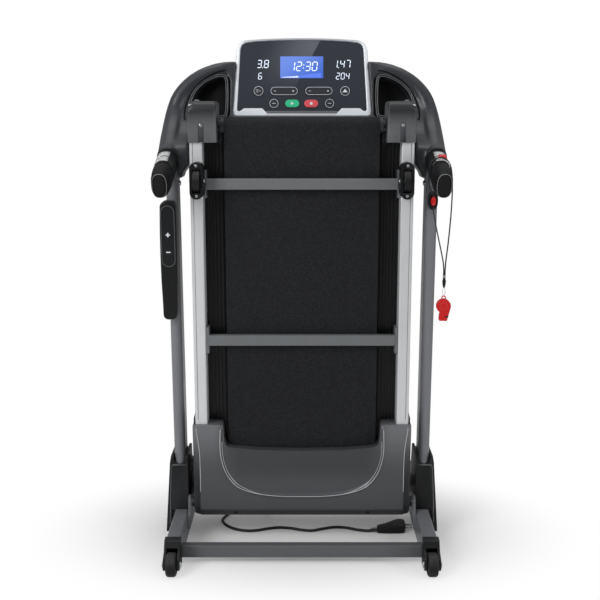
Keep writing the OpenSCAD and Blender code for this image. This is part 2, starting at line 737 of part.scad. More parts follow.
// Bead across the face of the pan, from one horn to the other
bead_half = [[213, 310], [215, 262], [205, 214], [187, 181], [163, 160], [118, 145], [72, 139]];
bead = smooth(concat([for (p = bead_half) [-p[0], p[1]]], [[0, 137]],
    [for (i = [len(bead_half) - 1:-1:0]) bead_half[i]]), 2);

module belly_pan() color("#4a4c50") {
    difference() {
        along_y(pan_face, split_y - 0.5) pan_view(0);
        along_y(pan_face + pan_wall, split_y) pan_view(pan_wall);
        translate([-pan_half + pan_wall + 0.2, under_y - 1.5, 200])
            cube([2 * (pan_half - pan_wall - 0.2), 80, 160]);
        rod_x(-300, 300, 15, pivot_y, pivot_z);
    }
    along_y(pan_face - 2, pan_face + 0.5)
        polygon(concat(beside(bead, 2.5), [for (i = [len(bead) - 1:-1:0]) beside(bead, -2.5)[i]]));
}

// Side view of the hood, drawn in by w
function hood_side(w) = concat([[split_y, pan_foot + w]], arc([80, 93], 15 - w, -90, 0, 4),
    smooth([[95 - w, 215], [84 - w, 262], [56 - w, 300], [16 - w, 334], [-18, hood_top - w]], 2),
    [[split_y, hood_top - w]]);

module motor_hood() color("#36383b") difference() {
    along_x(-pan_half, pan_half) polygon(hood_side(0));
    along_x(-pan_half + 3, pan_half - 3)
        polygon(concat([[split_y - 1, pan_foot + 3]], [for (p = hood_side(3)) p], [[split_y - 1, hood_top - 3]]));
    // Opening above the board, where the belt comes out
    translate([-pan_half + 3, split_y - 1, 230]) cube([2 * pan_half - 6, 20, 130]);
    // Openings for the lock flange, the cord and the switch
    translate([lock_x - 10, -30, lock_z - 13]) cube([25, 15, 26]);
    translate([-98, 62, 70]) cylinder(r = 8.1, h = 20);
    translate([-230, 36, 70]) cube([30, 18, 20]);
}

module drive_motor() color("#55585c") {
    rod_x(-90, 190, motor_r, motor_y, motor_z);
    for (x = [-60, 120]) translate([x, -21.5, 125]) cube([30, 20, 50]);
}

module motor_pulley() color("silver") {
    rod_x(190.3, drive_x - 9, 5, motor_y, motor_z);
    rod_x(drive_x - 9, drive_x + 9, small_pulley_r, motor_y, motor_z);
    rod_x(192, 203, 36, motor_y, motor_z);
}

module drive_belt() color("#1e1f21") along_x(drive_x - 7, drive_x + 7) difference() {
    belt_outline([roller_y, front_roller_z], large_pulley_r + 3.3, [motor_y, motor_z],
        small_pulley_r + 3.3);
    belt_outline([roller_y, front_roller_z], large_pulley_r + 0.3, [motor_y, motor_z],
        small_pulley_r + 0.3);
}

module controller() color("darkgreen") {
    translate([-270, -21.5, 120]) cube([150, 31.5, 4]);
    translate([-260, -10, 124]) cube([130, 30, 60]);
}

module cord_gland() color("#1e1f22") translate([-98, 62, 0]) {
    translate([0, 0, 50.4]) cylinder(r1 = 5.4, r2 = 7.6, h = 27.6);
    translate([0, 0, 78]) cylinder(r = 8, h = 6);
}

module power_cord() color("#1e1f22") {
    cord(cord_lead, cord_d, [1, 0, 0], 8, 2);
    cord(cord_run, cord_d, [0, 0, 1], 8, 2);
}

module cord_coil() color("#1e1f22") translate([coil_c[0], coil_c[1], 0]) rotate_extrude()
    translate([coil_in, 0]) square([coil_out - coil_in, 2 * cord_d]);

module power_plug() color("#1e1f22") {
    linear_extrude(22) polygon([[207, -41], [284, -41], [286, 12], [270, 14], [232, -14],
        [207, -27]]);
    for (y = [-24, -5]) rod_x(284, 305, 2.4, y, 11);
}

module power_switch() color("crimson")
    translate([-228, 39, 75]) cube([26, 12, 8]);

module fold_lock_pin() color("silver") {
    rod_y(-12, 45, lock_r, lock_x, lock_z);
    rod_y(44.5, 57, 8, lock_x, lock_z);
}

base_side_tubes();
base_cross_tubes();
frame_bolts();
wheel_forks();
base_wheel_left();
base_wheel_right();
front_feet();
uprights();
upright_covers();
console_shell();
handlebar_frame();
console_bezel();
console_panel();
display_board();
program_key();
speed_rocker();
incline_rocker();
fan_key();
mode_key();
start_key();
stop_key();
sound_key();
grips();
pulse_sensors();
quick_stop_key();
speed_pod();
pod_panel();
pod_plus_key();
pod_minus_key();
key_holder();
safety_key();
lanyard();
lanyard_toggle();
whistle();
deck_rails();
deck_crossbars();
motor_frame();
deck_board();
deck_cushions();
foot_rails();
running_belt();
front_roller();
rear_roller();
deck_bolts();
end_caps();
foot_roller_housings();
foot_roller_left();
foot_roller_right();
belly_pan();
motor_hood();
drive_motor();
motor_pulley();
drive_belt();
controller();
cord_gland();
power_cord();
cord_coil();
power_plug();
power_switch();
fold_lock_pin();
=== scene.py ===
# %% [markdown]
# # A folding treadmill, stored upright
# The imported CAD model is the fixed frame: it says where every part is and how it moves.
# This lesson adds the looks: cords, moulded shells, grips, a lit display and their finishes.
# Everything is in metres. Lists of sizes are written in millimetres and turned with mm().

# %% Load the frame
from math import copysign, cos, exp, pi, radians, sin, sqrt, tau

import bmesh
import bpy
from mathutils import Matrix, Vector
from mathutils.bvhtree import BVHTree


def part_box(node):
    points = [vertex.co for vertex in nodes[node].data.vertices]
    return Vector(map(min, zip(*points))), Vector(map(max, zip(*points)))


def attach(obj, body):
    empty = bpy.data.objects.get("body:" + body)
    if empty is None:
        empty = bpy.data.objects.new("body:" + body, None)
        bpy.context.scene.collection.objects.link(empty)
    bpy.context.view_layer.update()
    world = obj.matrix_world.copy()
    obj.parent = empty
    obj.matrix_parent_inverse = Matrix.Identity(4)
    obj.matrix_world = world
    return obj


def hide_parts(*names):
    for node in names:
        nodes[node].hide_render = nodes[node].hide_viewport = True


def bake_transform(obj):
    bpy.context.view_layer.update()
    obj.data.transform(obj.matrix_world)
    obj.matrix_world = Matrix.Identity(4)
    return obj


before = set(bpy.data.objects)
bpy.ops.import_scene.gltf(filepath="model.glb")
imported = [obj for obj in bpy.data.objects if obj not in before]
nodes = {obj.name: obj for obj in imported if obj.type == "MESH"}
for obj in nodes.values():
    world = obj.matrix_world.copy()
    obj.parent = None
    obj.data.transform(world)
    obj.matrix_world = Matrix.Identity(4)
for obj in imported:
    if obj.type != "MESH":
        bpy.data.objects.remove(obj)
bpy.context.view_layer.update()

MM = 0.001


def mm(*values):
    """A point written in millimetres, as a vector in metres."""
    return Vector([value * MM for value in values])


def linked(name, data):
    """An object in the scene that shows this data."""
    made = bpy.data.objects.new(name, data)
    bpy.context.scene.collection.objects.link(made)
    return made


# %% [markdown]
# ## Camera
# A product picture is taken from a few steps away with a slightly long lens, so that the
# uprights stay straight. The camera stands at chest height and looks a little down.

# %% Camera
CAMERA_PITCH = 11.14
camera_data = bpy.data.cameras.new("camera")
camera_data.sensor_width = 36.0
camera_data.lens = 57.0
camera_data.shift_x = -0.0032
camera = linked("camera", camera_data)
camera.location = (0.0, -2.482, 1.137)
camera.rotation_euler = (radians(90 - CAMERA_PITCH), 0.0, 0.0)
bpy.context.scene.camera = camera
print("lens: %.0f mm, %.2f m away" % (camera_data.lens, -camera.location.y))

# %% [markdown]
# ## Small helpers for meshes
# Most moulded parts here are lofts: rings of points along a path, joined by quads and closed
# with a fan at both ends. Thin printed shapes are flat outlines with a little thickness.


# %% Mesh helpers
FORWARD, UPWARD = Vector((0, 1, 0)), Vector((0, 0, 1))


def shaded(piece, smooth=True):
    """The piece with all of its faces shaded smooth, or all of them flat."""
    piece.data.polygons.foreach_set("use_smooth", [smooth] * len(piece.data.polygons))
    return piece


def mesh_piece(name, vertices, faces, smooth=True):
    """A new object from points and faces, with its normals pointing outwards."""
    data = bpy.data.meshes.new(name)
    data.from_pydata([tuple(v) for v in vertices], [], faces)
    work = bmesh.new()
    work.from_mesh(data)
    bmesh.ops.remove_doubles(work, verts=work.verts, dist=1e-6)
    bmesh.ops.recalc_face_normals(work, faces=work.faces)
    work.to_mesh(data)
    work.free()
    return shaded(linked(name, data), smooth)


def skin(count, rows, closed=False):
    """Quads between rows of that many points. closed joins the last row to the first."""
    return [(i * count + j, i * count + (j + 1) % count, (i + 1) % rows * count + (j + 1) % count,
             (i + 1) % rows * count + j) for i in range(rows - (not closed)) for j in range(count)]


def loft(rings, flat_ends=False):
    """Points and faces of a skin over rings that all have the same number of points.

    The ends are closed with a fan round a middle point, or with one flat face."""
    count, last = len(rings[0]), len(rings) - 1
    vertices = [point for ring in rings for point in ring]
    faces = skin(count, len(rings))
    if flat_ends:
        end = tuple(last * count + j for j in range(count))
        return vertices, faces + [tuple(range(count))[::-1], end]
    for end in (0, last):
        vertices.append(sum((Vector(p) for p in rings[end]), Vector()) / count)
        faces += [(end * count + j, end * count + (j + 1) % count, len(vertices) - 1)
                  for j in range(count)]
    return vertices, faces


print("quads between 3 rows of 8 points:", len(skin(8, 3)))

# %% [markdown]
# ## Cords first
# The mains cord is a fixed length of flexible lead. It leaves the motor bay, drops to the
# floor, lies in three and a half turns of a neat coil behind the machine and wanders to its
# plug in front. The safety lanyard hangs in two strands from its key to the toggle.

# %% Lines and tubes
def catmull(points, steps):
    """A smooth line through its own points."""
    made = []
    last = len(points) - 1
    for i in range(last):
        corners = zip(points[max(i - 1, 0)], points[i], points[i + 1], points[min(i + 2, last)])
        terms = [(2 * b, c - a, 2 * a - 5 * b + 4 * c - d, 3 * b - a - 3 * c + d)
                 for a, b, c, d in corners]
        made += [[0.5 * (p + q * t + r * t * t + s * t * t * t) for p, q, r, s in terms]
                 for t in [k / steps for k in range(steps)]]
    return made + [list(points[-1])]


def heading(line, i):
    """The direction of a line at one of its points."""
    return (Vector(line[min(i + 1, len(line) - 1)]) - Vector(line[max(i - 1, 0)])).normalized()


def round_ring(place, ahead, side, radius, count):
    """A circle of points round a place, square to the way ahead; the radius is in millimetres."""
    a = ahead.cross(side).normalized()
    b = ahead.cross(a)
    turns = [tau * j / count for j in range(count)]
    return [place + radius * MM * (cos(turn) * a + sin(turn) * b) for turn in turns]


def tube(line, radius, count=8, side=FORWARD):
    """Points and faces of a round tube along a line of points, closed at both ends."""
    return loft([round_ring(place, heading(line, i), side, radius, count)
                 for i, place in enumerate(line)])


print("points of a line of 3 with 4 steps:", len(catmull([(0, 0), (1, 1), (2, 0)], 4)))

# %% Routes of the cords
CORD_D = 8.0
LANYARD_D = 3.4
cord_lead = [(-98, 62, 50), (-98, 62.5, 38), (-98, 66, 25), (-98, 75, 13.5), (-98, 90, 6),
             (-98, 110, 4), (-98, 130, 4), (-98, 150, 4)]
cord_run = [(-202, 150, 12), (-202, 128, 11), (-204, 106, 8), (-210, 84, 5), (-220, 62, 4),
            (-225, 40, 4), (-216, 14, 4), (-198, -8, 4), (-176, -22, 4), (-150, -29, 4),
            (-122, -26, 4), (-94, -15, 4), (-62, -8, 4), (-30, -13, 4), (0, -24, 4),
            (28, -28, 4), (58, -16, 4), (90, -6, 4), (122, -9, 4), (152, -22, 4),
            (180, -32, 5.5), (206, -34, 9)]
lanyard_a = [(330, -97, 904), (331, -101, 890), (334.5, -112, 865), (340, -128, 832),
             (346, -145, 798), (350, -158, 772), (350.6, -165, 750.5)]
lanyard_b = [(330, -97, 928), (325, -107, 941), (318, -121, 953), (312.5, -135, 967),
             (310.5, -145, 983), (311, -149, 1000), (314, -149, 1016), (324, -149, 1027),
             (337, -149, 1031), (350, -149, 1027), (360, -150, 1015), (364, -153, 1000),
             (365.5, -158, 980), (366, -162, 950), (365, -164, 910), (362.5, -165, 865),
             (359, -165, 820), (355, -165, 780), (353.6, -165, 750.5)]

coil_low, coil_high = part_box("cord_coil")
COIL_CENTRE = (coil_low + coil_high) / 2
COIL_OUTER = (coil_high.x - coil_low.x) / 2 / MM - CORD_D / 2
COIL_TURNS = 3.5


def coil_route():
    """Turns of the coil: out, in, up one layer and out again, a diameter apart."""
    steps = int(COIL_TURNS * 24)
    route = []
    for i in range(1, steps):
        t = i / steps
        angle = tau * COIL_TURNS * t
        inward = min(max((t - 0.22) / 0.12, 0), 1) - min(max((t - 0.70) / 0.12, 0), 1)
        raised = min(max((t - 0.46) / 0.10, 0), 1)
        radius = COIL_OUTER - CORD_D * inward
        route.append((COIL_CENTRE.x / MM + radius * cos(angle),
                      COIL_CENTRE.y / MM + radius * sin(angle),
                      CORD_D / 2 + CORD_D * raised))
    return route


def length_of(points):
    """The length of a line of points, in metres."""
    return sum((Vector(b) - Vector(a)).length for a, b in zip(points, points[1:]))


def cord_piece(name, route, diameter, count):
    """A cord as a mesh tube, and the line that it follows."""
    line = [mm(*point) for point in route]
    return mesh_piece(name, *tube(line, diameter / 2, count, Vector((0.21, 0.13, 0.97)))), line


mains_route = catmull(cord_lead, 4)[:-1] + coil_route() + catmull(cord_run, 4)
mains_cord, mains_line = cord_piece("mains_cord", mains_route, CORD_D, 12)
lanyard_short, short_line = cord_piece("lanyard_short_strand", catmull(lanyard_a, 4), LANYARD_D, 10)
lanyard_long, long_line = cord_piece("lanyard_long_strand", catmull(lanyard_b, 4), LANYARD_D, 10)
print("mains cord: %.3f m" % length_of(mains_line))
print("lanyard: %.3f m and %.3f m" % (length_of(short_line), length_of(long_line)))

# %% [markdown]
# ## Effects that several finishes share
# Moulded plastic, paint and rubber all have a fine grain and a slow drift of tone, and their
# sharp edges get a painted highlight. Each effect is one node group with named inputs, placed in
# every material with that material's own values.


# %% Shader node helpers
def fed(tree, node, *inputs, **values):
    """A node with its inputs and properties set: to a plain value or to another node's output."""
    for key, value in [*enumerate(inputs), *values.items()]:
        label = key.replace("_", " ") if isinstance(key, str) else key
        if isinstance(key, str) and label not in node.inputs:
            setattr(node, key, value)
        elif isinstance(value, bpy.types.NodeSocket):
            tree.links.new(value, node.inputs[label])
        else:
            node.inputs[label].default_value = value
    return node


def placed(tree, kind, *inputs, **values):
    """A new node of a kind, fed at once."""
    return fed(tree, tree.nodes.new("ShaderNode" + kind), *inputs, **values)


def calc(tree, operation, *inputs, **values):
    return placed(tree, "Math", *inputs, operation=operation, **values).outputs[0]


def product(tree, first, second):
    return calc(tree, "MULTIPLY", first, second)


def stretched(tree, vector, by):
    return placed(tree, "VectorMath", vector, by, operation="MULTIPLY").outputs[0]


def spot(tree, kind="Object"):
    """The place that is being shaded."""
    return placed(tree, "TexCoord").outputs[kind]


def axes(tree, kind="Object"):
    return placed(tree, "SeparateXYZ", spot(tree, kind)).outputs


def noise(tree, vector, scale, detail=2.0):
    return placed(tree, "TexNoise", Vector=vector, Scale=scale, Detail=detail).outputs["Fac"]


def mixed(tree, amount, before, after, **values):
    return placed(tree, "MixRGB", amount, before, after, **values).outputs[0]


def spread(tree, value, start, end, low=0.0, high=1.0, interpolation_type="SMOOTHSTEP"):
    """A rise from low to high while the value runs from start to end."""
    return placed(tree, "MapRange", Value=value, From_Min=start, From_Max=end, To_Min=low, To_Max=high,
                  interpolation_type=interpolation_type).outputs["Result"]


def ramp(tree, *values):
    return spread(tree, *values, interpolation_type="LINEAR")


print("shader helpers ready:", ", ".join(f.__name__ for f in (calc, mixed, noise, ramp, spread)))


# %% Shader node groups
def shader_group(build, inputs, outputs):
    """A group with named inputs. build gets its tree and inputs, and gives its outputs."""
    group = bpy.data.node_groups.new(build.__name__, "ShaderNodeTree")
    kinds = {0: "Float", 3: "Vector", 4: "Color"}
    for label, value in inputs.items():
        kind = kinds[len(value) if isinstance(value, tuple) else 0]
        made = group.interface.new_socket(label, in_out="INPUT", socket_type="NodeSocket" + kind)
        made.default_value = value
    for label, kind in outputs.items():
        group.interface.new_socket(label, in_out="OUTPUT", socket_type="NodeSocket" + kind)
    given, out = group.nodes.new("NodeGroupInput").outputs, group.nodes.new("NodeGroupOutput")
    for source, socket in zip(build(group, given), out.inputs):
        group.links.new(source, socket)
    return group


def fine_grain(tree, given):
    """Fine grain: pits in the surface and the patches of roughness that come with them."""
    place = stretched(tree, spot(tree), given["Stretch"])
    pits = placed(tree, "Bump", Height=noise(tree, place, given["Scale"], 3.0), Strength=given["Depth"],
                  Distance=0.0004)
    drift = calc(tree, "SUBTRACT", noise(tree, place, 14.0, 4.0), 0.5)
    rough = calc(tree, "ADD", product(tree, drift, given["Patches"]), given["Roughness"],
                 use_clamp=True)
    return rough, pits.outputs[0]


def tone_and_edge_highlight(tree, given):
    """Slow drift of tone, and a painted highlight: a lighter line on sharp edges."""
    drift = calc(tree, "SUBTRACT", noise(tree, spot(tree), 6.0, 3.0), 0.5)
    amount = calc(tree, "ADD", product(tree, drift, given["Drift"]), 1.0)
    corner = ramp(tree, placed(tree, "NewGeometry").outputs["Pointiness"], 0.53, 0.62)
    return [mixed(tree, product(tree, corner, given["Edges"]), stretched(tree, given["Colour"], amount),
                  given["Edge Colour"])]


def settled_dust(tree, given):
    """A thin film of dust on surfaces that face upwards."""
    up = placed(tree, "SeparateXYZ", placed(tree, "NewGeometry").outputs["Normal"]).outputs["Z"]
    up = calc(tree, "MULTIPLY", up, noise(tree, spot(tree), 60.0, 6.0), use_clamp=True)
    return [mixed(tree, product(tree, up, given["Amount"]), given["Colour"], (0.55, 0.54, 0.52, 1))]


MID_GREY = (0.5, 0.5, 0.5, 1)
FINE_GRAIN = shader_group(fine_grain, {"Scale": 900.0, "Depth": 0.2, "Roughness": 0.5, "Patches": 0.1,
                                       "Stretch": (1, 1, 1)}, {"Roughness": "Float", "Normal": "Vector"})
TONE = shader_group(tone_and_edge_highlight, {"Colour": MID_GREY, "Drift": 0.1, "Edge Colour": (0.8, 0.8, 0.8, 1),
                                     "Edges": 0.3}, {"Colour": "Color"})
DUST = shader_group(settled_dust, {"Colour": MID_GREY, "Amount": 0.1}, {"Colour": "Color"})
print("shared effects:", len(bpy.data.node_groups))

# %% [markdown]
# ## Finishes
# The machine is mostly black and grey plastic, two greys of paint and one bright silver. What
# tells them apart is less their colour than how they shine, so each gets its own roughness,
# grain size and clear coat.


# %% How a finish is built
def linear(r, g, b):
    """An sRGB colour, 0 to 255, as the linear colour that Blender works in."""
    return tuple(((c / 255 + 0.055) / 1.055) ** 2.4 if c > 10 else c / 255 / 12.92
                 for c in (r, g, b)) + (1.0,)


MATERIALS = {}


def bare_material(name):
    """A new material in the table of finishes, with its node tree and its shader."""
    material = MATERIALS[name] = bpy.data.materials.new(name)
    material.use_nodes = True
    return material.node_tree, material.node_tree.nodes["Principled BSDF"]


def finish(name, colour, rough, grain=900, depth=0.15, metallic=0.0, coat=0.0, patches=0.1, drift=0.12,
           edge=(150, 150, 152), edges=0.15, dust=0.0, stretch=(1, 1, 1), glow=0.0, specular=0.35):
    """A finish built from the shared effects, with its own colour, shine and grain."""
    tree, shader = bare_material(name)
    tone = placed(tree, "Group", node_tree=TONE, Colour=linear(*colour), Drift=drift,
                  Edge_Colour=linear(*edge), Edges=edges).outputs["Colour"]
    if dust:
        tone = placed(tree, "Group", node_tree=DUST, Colour=tone, Amount=dust).outputs["Colour"]
    fine = placed(tree, "Group", node_tree=FINE_GRAIN, Scale=grain, Depth=depth, Roughness=rough,
                  Patches=patches, Stretch=stretch).outputs
    fed(tree, shader, Base_Color=tone, Roughness=fine["Roughness"], Normal=fine["Normal"],
        Metallic=metallic, Coat_Weight=coat, Coat_Roughness=0.12, Specular_IOR_Level=specular)
    if glow:
        fed(tree, shader, Emission_Color=tone, Emission_Strength=glow)


print("finishes so far:", len(MATERIALS))

# %% Table of finishes
# edge and edges set the colour and the amount of each finish's painted highlight on sharp edges
finish("frame_grey", (80, 82, 85), 0.4, 500, 0.12, coat=0.15, dust=0.02, edge=(205, 207, 210),
       specular=0.3)
# A lighter copy of the frame grey for the side tubes: painted light on their lit faces
finish("side_grey", (102, 104, 108), 0.4, 500, 0.12, coat=0.15, dust=0.05, specular=0.3)
finish("upright_grey", (112, 114, 118), 0.36, 500, 0.1, coat=0.25)
finish("rail_silver", (204, 206, 208), 0.38, 700, 0.08, metallic=0.25, coat=0.1, stretch=(1, 1, 0.06),
       edge=(232, 233, 235))
finish("crossbar_grey", (100, 103, 105), 0.42, 600, 0.1, coat=0.1)
finish("inner_steel", (40, 42, 45), 0.45, 500, 0.15)
finish("zinc", (178, 180, 182), 0.34, 1200, 0.1, metallic=0.9, edges=0.3)
finish("chrome", (236, 236, 236), 0.2, 900, 0.02, metallic=0.7, patches=0.05)
finish("black_plastic", (12, 13, 15), 0.38, 1400, 0.2, dust=0.02, drift=0.06, edge=(110, 112, 116),
       edges=0.1, specular=0.25)
finish("shell_plastic", (42, 44, 49), 0.34, 1600, 0.18, dust=0.04, edge=(120, 122, 126), specular=0.45)
finish("pan_plastic", (86, 88, 92), 0.36, 1600, 0.16, metallic=0.45, edge=(170, 172, 176), edges=0.3)
finish("cap_plastic", (46, 48, 50), 0.34, 1200, 0.15, metallic=0.1, edge=(190, 192, 195), edges=0.5)
finish("bezel_silver", (226, 231, 236), 0.36, 1800, 0.08, metallic=0.1, coat=0.3, edge=(238, 240, 242))
finish("panel_black", (50, 54, 61), 0.26, 300, 0.01, coat=0.12, patches=0.04, drift=0.05, edges=0.0,
       specular=0.2)
finish("key_dark", (38, 41, 47), 0.3, 1200, 0.06, coat=0.3, edges=0.05)
finish("key_black", (19, 20, 22), 0.34, 1200, 0.08, edges=0.05, specular=0.25)
# The start and stop keys get a painted glow, though they hold no lamp
finish("key_green", (40, 180, 128), 0.32, 1200, 0.06, coat=0.4, glow=0.12, edge=(120, 220, 180))
finish("key_red", (206, 74, 82), 0.32, 1200, 0.06, coat=0.4, glow=0.12, edge=(235, 150, 150))
finish("signal_red", (198, 12, 16), 0.36, 900, 0.06, coat=0.15, edge=(240, 130, 120))
finish("grip_foam", (14, 14, 16), 0.6, 1100, 0.45, patches=0.15, specular=0.2)
finish("wheel_rubber", (15, 16, 18), 0.5, 700, 0.3, dust=0.1, specular=0.25)
finish("belt_rubber", (30, 31, 33), 0.62, 1500, 0.6, patches=0.12, edges=0.0, specular=0.12)
finish("cord_black", (17, 17, 19), 0.4, dust=0.06, specular=0.25)
finish("board_wood", (44, 40, 36), 0.6, 120, 0.3, drift=0.4, stretch=(1, 1, 0.1))
finish("motor_steel", (84, 87, 92), 0.42, 500, 0.2, metallic=0.7)
finish("circuit_green", (26, 84, 50), 0.4, 400, 0.1, coat=0.3)
# Near black for painted shade: in the tray, in folds and grooves and in holes
finish("tray_black", (9, 10, 11), 0.6, 900, 0.2, edges=0.0, specular=0.12)
print("finishes:", len(MATERIALS))


# %% [markdown]
# A running belt has the texture of a woven cloth. A picture of cloth could be laid on it, but
# a cell texture, narrowed one way, gives threads at any size. The white marks are flat ink, so
# they get no grain, and a little light of their own, as they stand out on a dark panel.

# %% Woven rubber and printed ink
def recoloured(name, make):
    """Pass the colour that a finish ends with through one more step."""
    tree = MATERIALS[name].node_tree
    socket = tree.nodes["Principled BSDF"].inputs["Base Color"]
    tree.links.new(make(tree, socket.links[0].from_socket), socket)


def woven(tree, colour):
    """A woven fabric's speckle, laid over the finish's own colour."""
    flat = stretched(tree, spot(tree), (1.0, 0.2, 1.0))
    threads = placed(tree, "TexVoronoi", Vector=flat, Scale=230.0, Randomness=0.7).outputs["Distance"]
    height = product(tree, threads, noise(tree, flat, 170.0))
    return stretched(tree, colour, ramp(tree, height, 0.1, 0.4, 0.74, 1.34))


def printed(name, colour, glow):
    """Flat ink or a lit segment: no grain, a little of its own light."""
    finish(name, colour, 0.45, 300, 0.0, patches=0.0, drift=0.04, edges=0.0, glow=glow)


recoloured("belt_rubber", woven)
printed("white_ink", (206, 210, 216), 0.15)
printed("lit_segment", (228, 236, 255), 0.55)
printed("dim_segment", (84, 112, 214), 0.6)
print("finishes with inks:", len(MATERIALS))

# %% [markdown]
# ## Finishing the CAD parts
# Tubes, brackets, wheels and keys keep their own geometry. A weld joins their loose triangles,
# a narrow bevel rounds their edges so that they catch the light, and weighted normals keep the
# flat faces flat. Triangles that lie in one plane are first merged into one face, so that the
# bevel is clean. The table says which finish each part has and how round its edges are.

# %% Ways to finish a piece
def applied(piece):
    """The piece's modifiers turned into plain mesh."""
    bpy.context.view_layer.update()
    graph = bpy.context.evaluated_depsgraph_get()
    data = bpy.data.meshes.new_from_object(piece.evaluated_get(graph))
    piece.modifiers.clear()
    piece.data = data
    return piece


def paint(piece, look):
    """The piece with one finish on all of its faces."""
    piece.data.materials.clear()
    piece.data.materials.append(MATERIALS[look])
    return piece


def modify(piece, kind, **values):
    """Add a modifier with its properties set."""
    modifier = piece.modifiers.new(kind.lower(), kind)
    for key, value in values.items():
        setattr(modifier, key, value)


def rounded(piece, width, segments=2):
    """Round the sharp edges of a piece by that many millimetres."""
    modify(piece, "WELD", merge_threshold=0.00001)
    modify(piece, "DECIMATE", decimate_type="DISSOLVE", angle_limit=radians(0.6))
    modify(piece, "BEVEL", width=width * MM, segments=segments, angle_limit=radians(32))
    modify(piece, "WEIGHTED_NORMAL", keep_sharp=False)
    return shaded(piece)


def declared(piece, look, body="base", replaces=""):
    """The piece with its finish, the body that it rides on and the CAD parts it stands for."""
    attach(paint(piece, look), body)
    if replaces:
        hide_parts(*replaces.split())
    return piece


def together(parts):
    """Several lists of (points, faces) as one."""
    vertices, faces = [], []
    for points, sides in parts:
        faces += [tuple(i + len(vertices) for i in side) for side in sides]
        vertices += points
    return vertices, faces


def moulded(name, parts, look, body="base", replaces="", edge=0.0, segments=3, smooth=True):
    """A piece from lists of (points, faces), with its edges rounded if edge is given."""
    piece = mesh_piece(name, *together(parts), smooth)
    if edge:
        applied(rounded(piece, edge, segments))
    return declared(piece, look, body, replaces)


print("CAD parts to dress:", len(nodes))


# %% Dress the CAD parts
# Each row is a finish, the width of the rounded edges in millimetres and the parts
DRESSED = """
side_grey 1.2 base_side_tubes
frame_grey 1.0 base_cross_tubes
upright_grey 0.8 uprights
rail_silver 0.8 deck_rails
crossbar_grey 0.8 deck_crossbars
board_wood 0.8 deck_board
inner_steel 0.6 handlebar_frame motor_frame rear_roller
motor_steel 1.0 drive_motor
circuit_green 0.6 controller
cord_black 0.6 cord_gland
pan_plastic 2.0 motor_hood
zinc 0.5 deck_bolts
zinc 0.6 frame_bolts front_roller motor_pulley fold_lock_pin
wheel_rubber 0.6 base_wheel_left base_wheel_right foot_roller_left foot_roller_right
wheel_rubber 0.8 deck_cushions
belt_rubber 0.4 running_belt drive_belt
black_plastic 0.4 foot_rails
black_plastic 1.5 front_feet
black_plastic 1.6 wheel_forks
black_plastic 2.0 foot_roller_housings
black_plastic 2.4 upright_covers
key_dark 0.5 program_key fan_key mode_key sound_key speed_rocker incline_rocker
key_black 0.5 pod_plus_key pod_minus_key
key_green 0.7 start_key
key_red 0.7 stop_key
signal_red 0.8 power_switch
signal_red 3.2 quick_stop_key
"""
rows = [row.split() for row in DRESSED.split("\n") if row]
for look, edge_width, *names in rows:
    for name in names:
        rounded(paint(nodes[name], look), float(edge_width))
print("dressed:", sum(len(row) - 2 for row in rows))

# %% [markdown]
# ## Studio
# One pale sheet is the floor, and the room around it is plain white. The world lights the
# machine evenly, and three large soft lamps give the plastic its long highlights.


# %% Floor
WHITE = (1, 1, 1, 1)
FLOOR_Z = -0.0005


def seen_directly(tree):
    """1 for rays from the camera, also through something clear, and 0 for the others."""
    rays = placed(tree, "LightPath").outputs
    return calc(tree, "MAXIMUM", rays["Is Camera Ray"], rays["Is Transmission Ray"])


def floor_tone(tree, shader):
    """Mix the floor's shading with white light: more of it further out, seen directly only."""
    far = placed(tree, "VectorMath", stretched(tree, spot(tree), (0.75, 1.25, 1.0)), operation="LENGTH")
    fade = spread(tree, far.outputs["Value"], 0.2, 0.6, 0.1, 1.0)
    glow = placed(tree, "Emission", Color=WHITE, Strength=1.0).outputs[0]
    mix = placed(tree, "MixShader", product(tree, seen_directly(tree), fade), shader.outputs[0], glow)
    tree.links.new(mix.outputs[0], tree.nodes["Material Output"].inputs["Surface"])


def studio_floor(rings=5, spokes=32, step=1.2):
    """A round pale floor that fades to white with distance and keeps the shadow."""
    turns = [tau * j / spokes for j in range(spokes)]
    vertices = [(0, 0, FLOOR_Z)] + [(step * i * cos(turn), step * i * sin(turn), FLOOR_Z)
                                    for i in range(1, rings + 1) for turn in turns]
    faces = []
    for j in range(spokes):
        k = (j + 1) % spokes
        faces.append((0, 1 + j, 1 + k))
        faces += [(a + j, a + spokes + j, a + spokes + k, a + k)
                  for a in range(1, 1 + spokes * (rings - 1), spokes)]
    tree, shader = bare_material("studio_floor")
    fed(tree, shader, Base_Color=(0.9, 0.9, 0.9, 1), Roughness=0.9)
    floor_tone(tree, shader)
    paint(mesh_piece("studio_floor", vertices, faces), "studio_floor")
    print("floor faces:", len(faces))


studio_floor()


# %% World
def studio_world(light, seen):
    """Even light, a plain white room behind the object, and a dimmer room in its reflections."""
    world = bpy.context.scene.world = bpy.data.worlds.new("studio")
    world.use_nodes = True
    tree = world.node_tree
    tree.nodes.clear()
    even, white = (placed(tree, "Background", WHITE, strength).outputs[0] for strength in (light, seen))
    rising = ramp(tree, axes(tree, "Generated")["Z"], -0.1, 0.9, 0.16, 0.6)
    mirrored = placed(tree, "Background", (0.97, 0.985, 1.0, 1), rising).outputs[0]
    glossy = placed(tree, "LightPath").outputs["Is Glossy Ray"]
    room = placed(tree, "MixShader", glossy, even, mirrored).outputs[0]
    room = placed(tree, "MixShader", seen_directly(tree), room, white).outputs[0]
    placed(tree, "OutputWorld", Surface=room)
    print("world nodes:", len(tree.nodes))


studio_world(0.36, 1.0)


# %% Lamps
def softbox(name, place, target, size, power):
    """A rectangular lamp that looks at a target; the power is in watts."""
    data = bpy.data.lights.new(name, "AREA")
    data.shape = "RECTANGLE"
    data.size, data.size_y = size
    data.energy = power
    lamp = linked(name, data)
    lamp.location = place
    lamp.rotation_euler = (Vector(target) - Vector(place)).to_track_quat("-Z", "Y").to_euler()


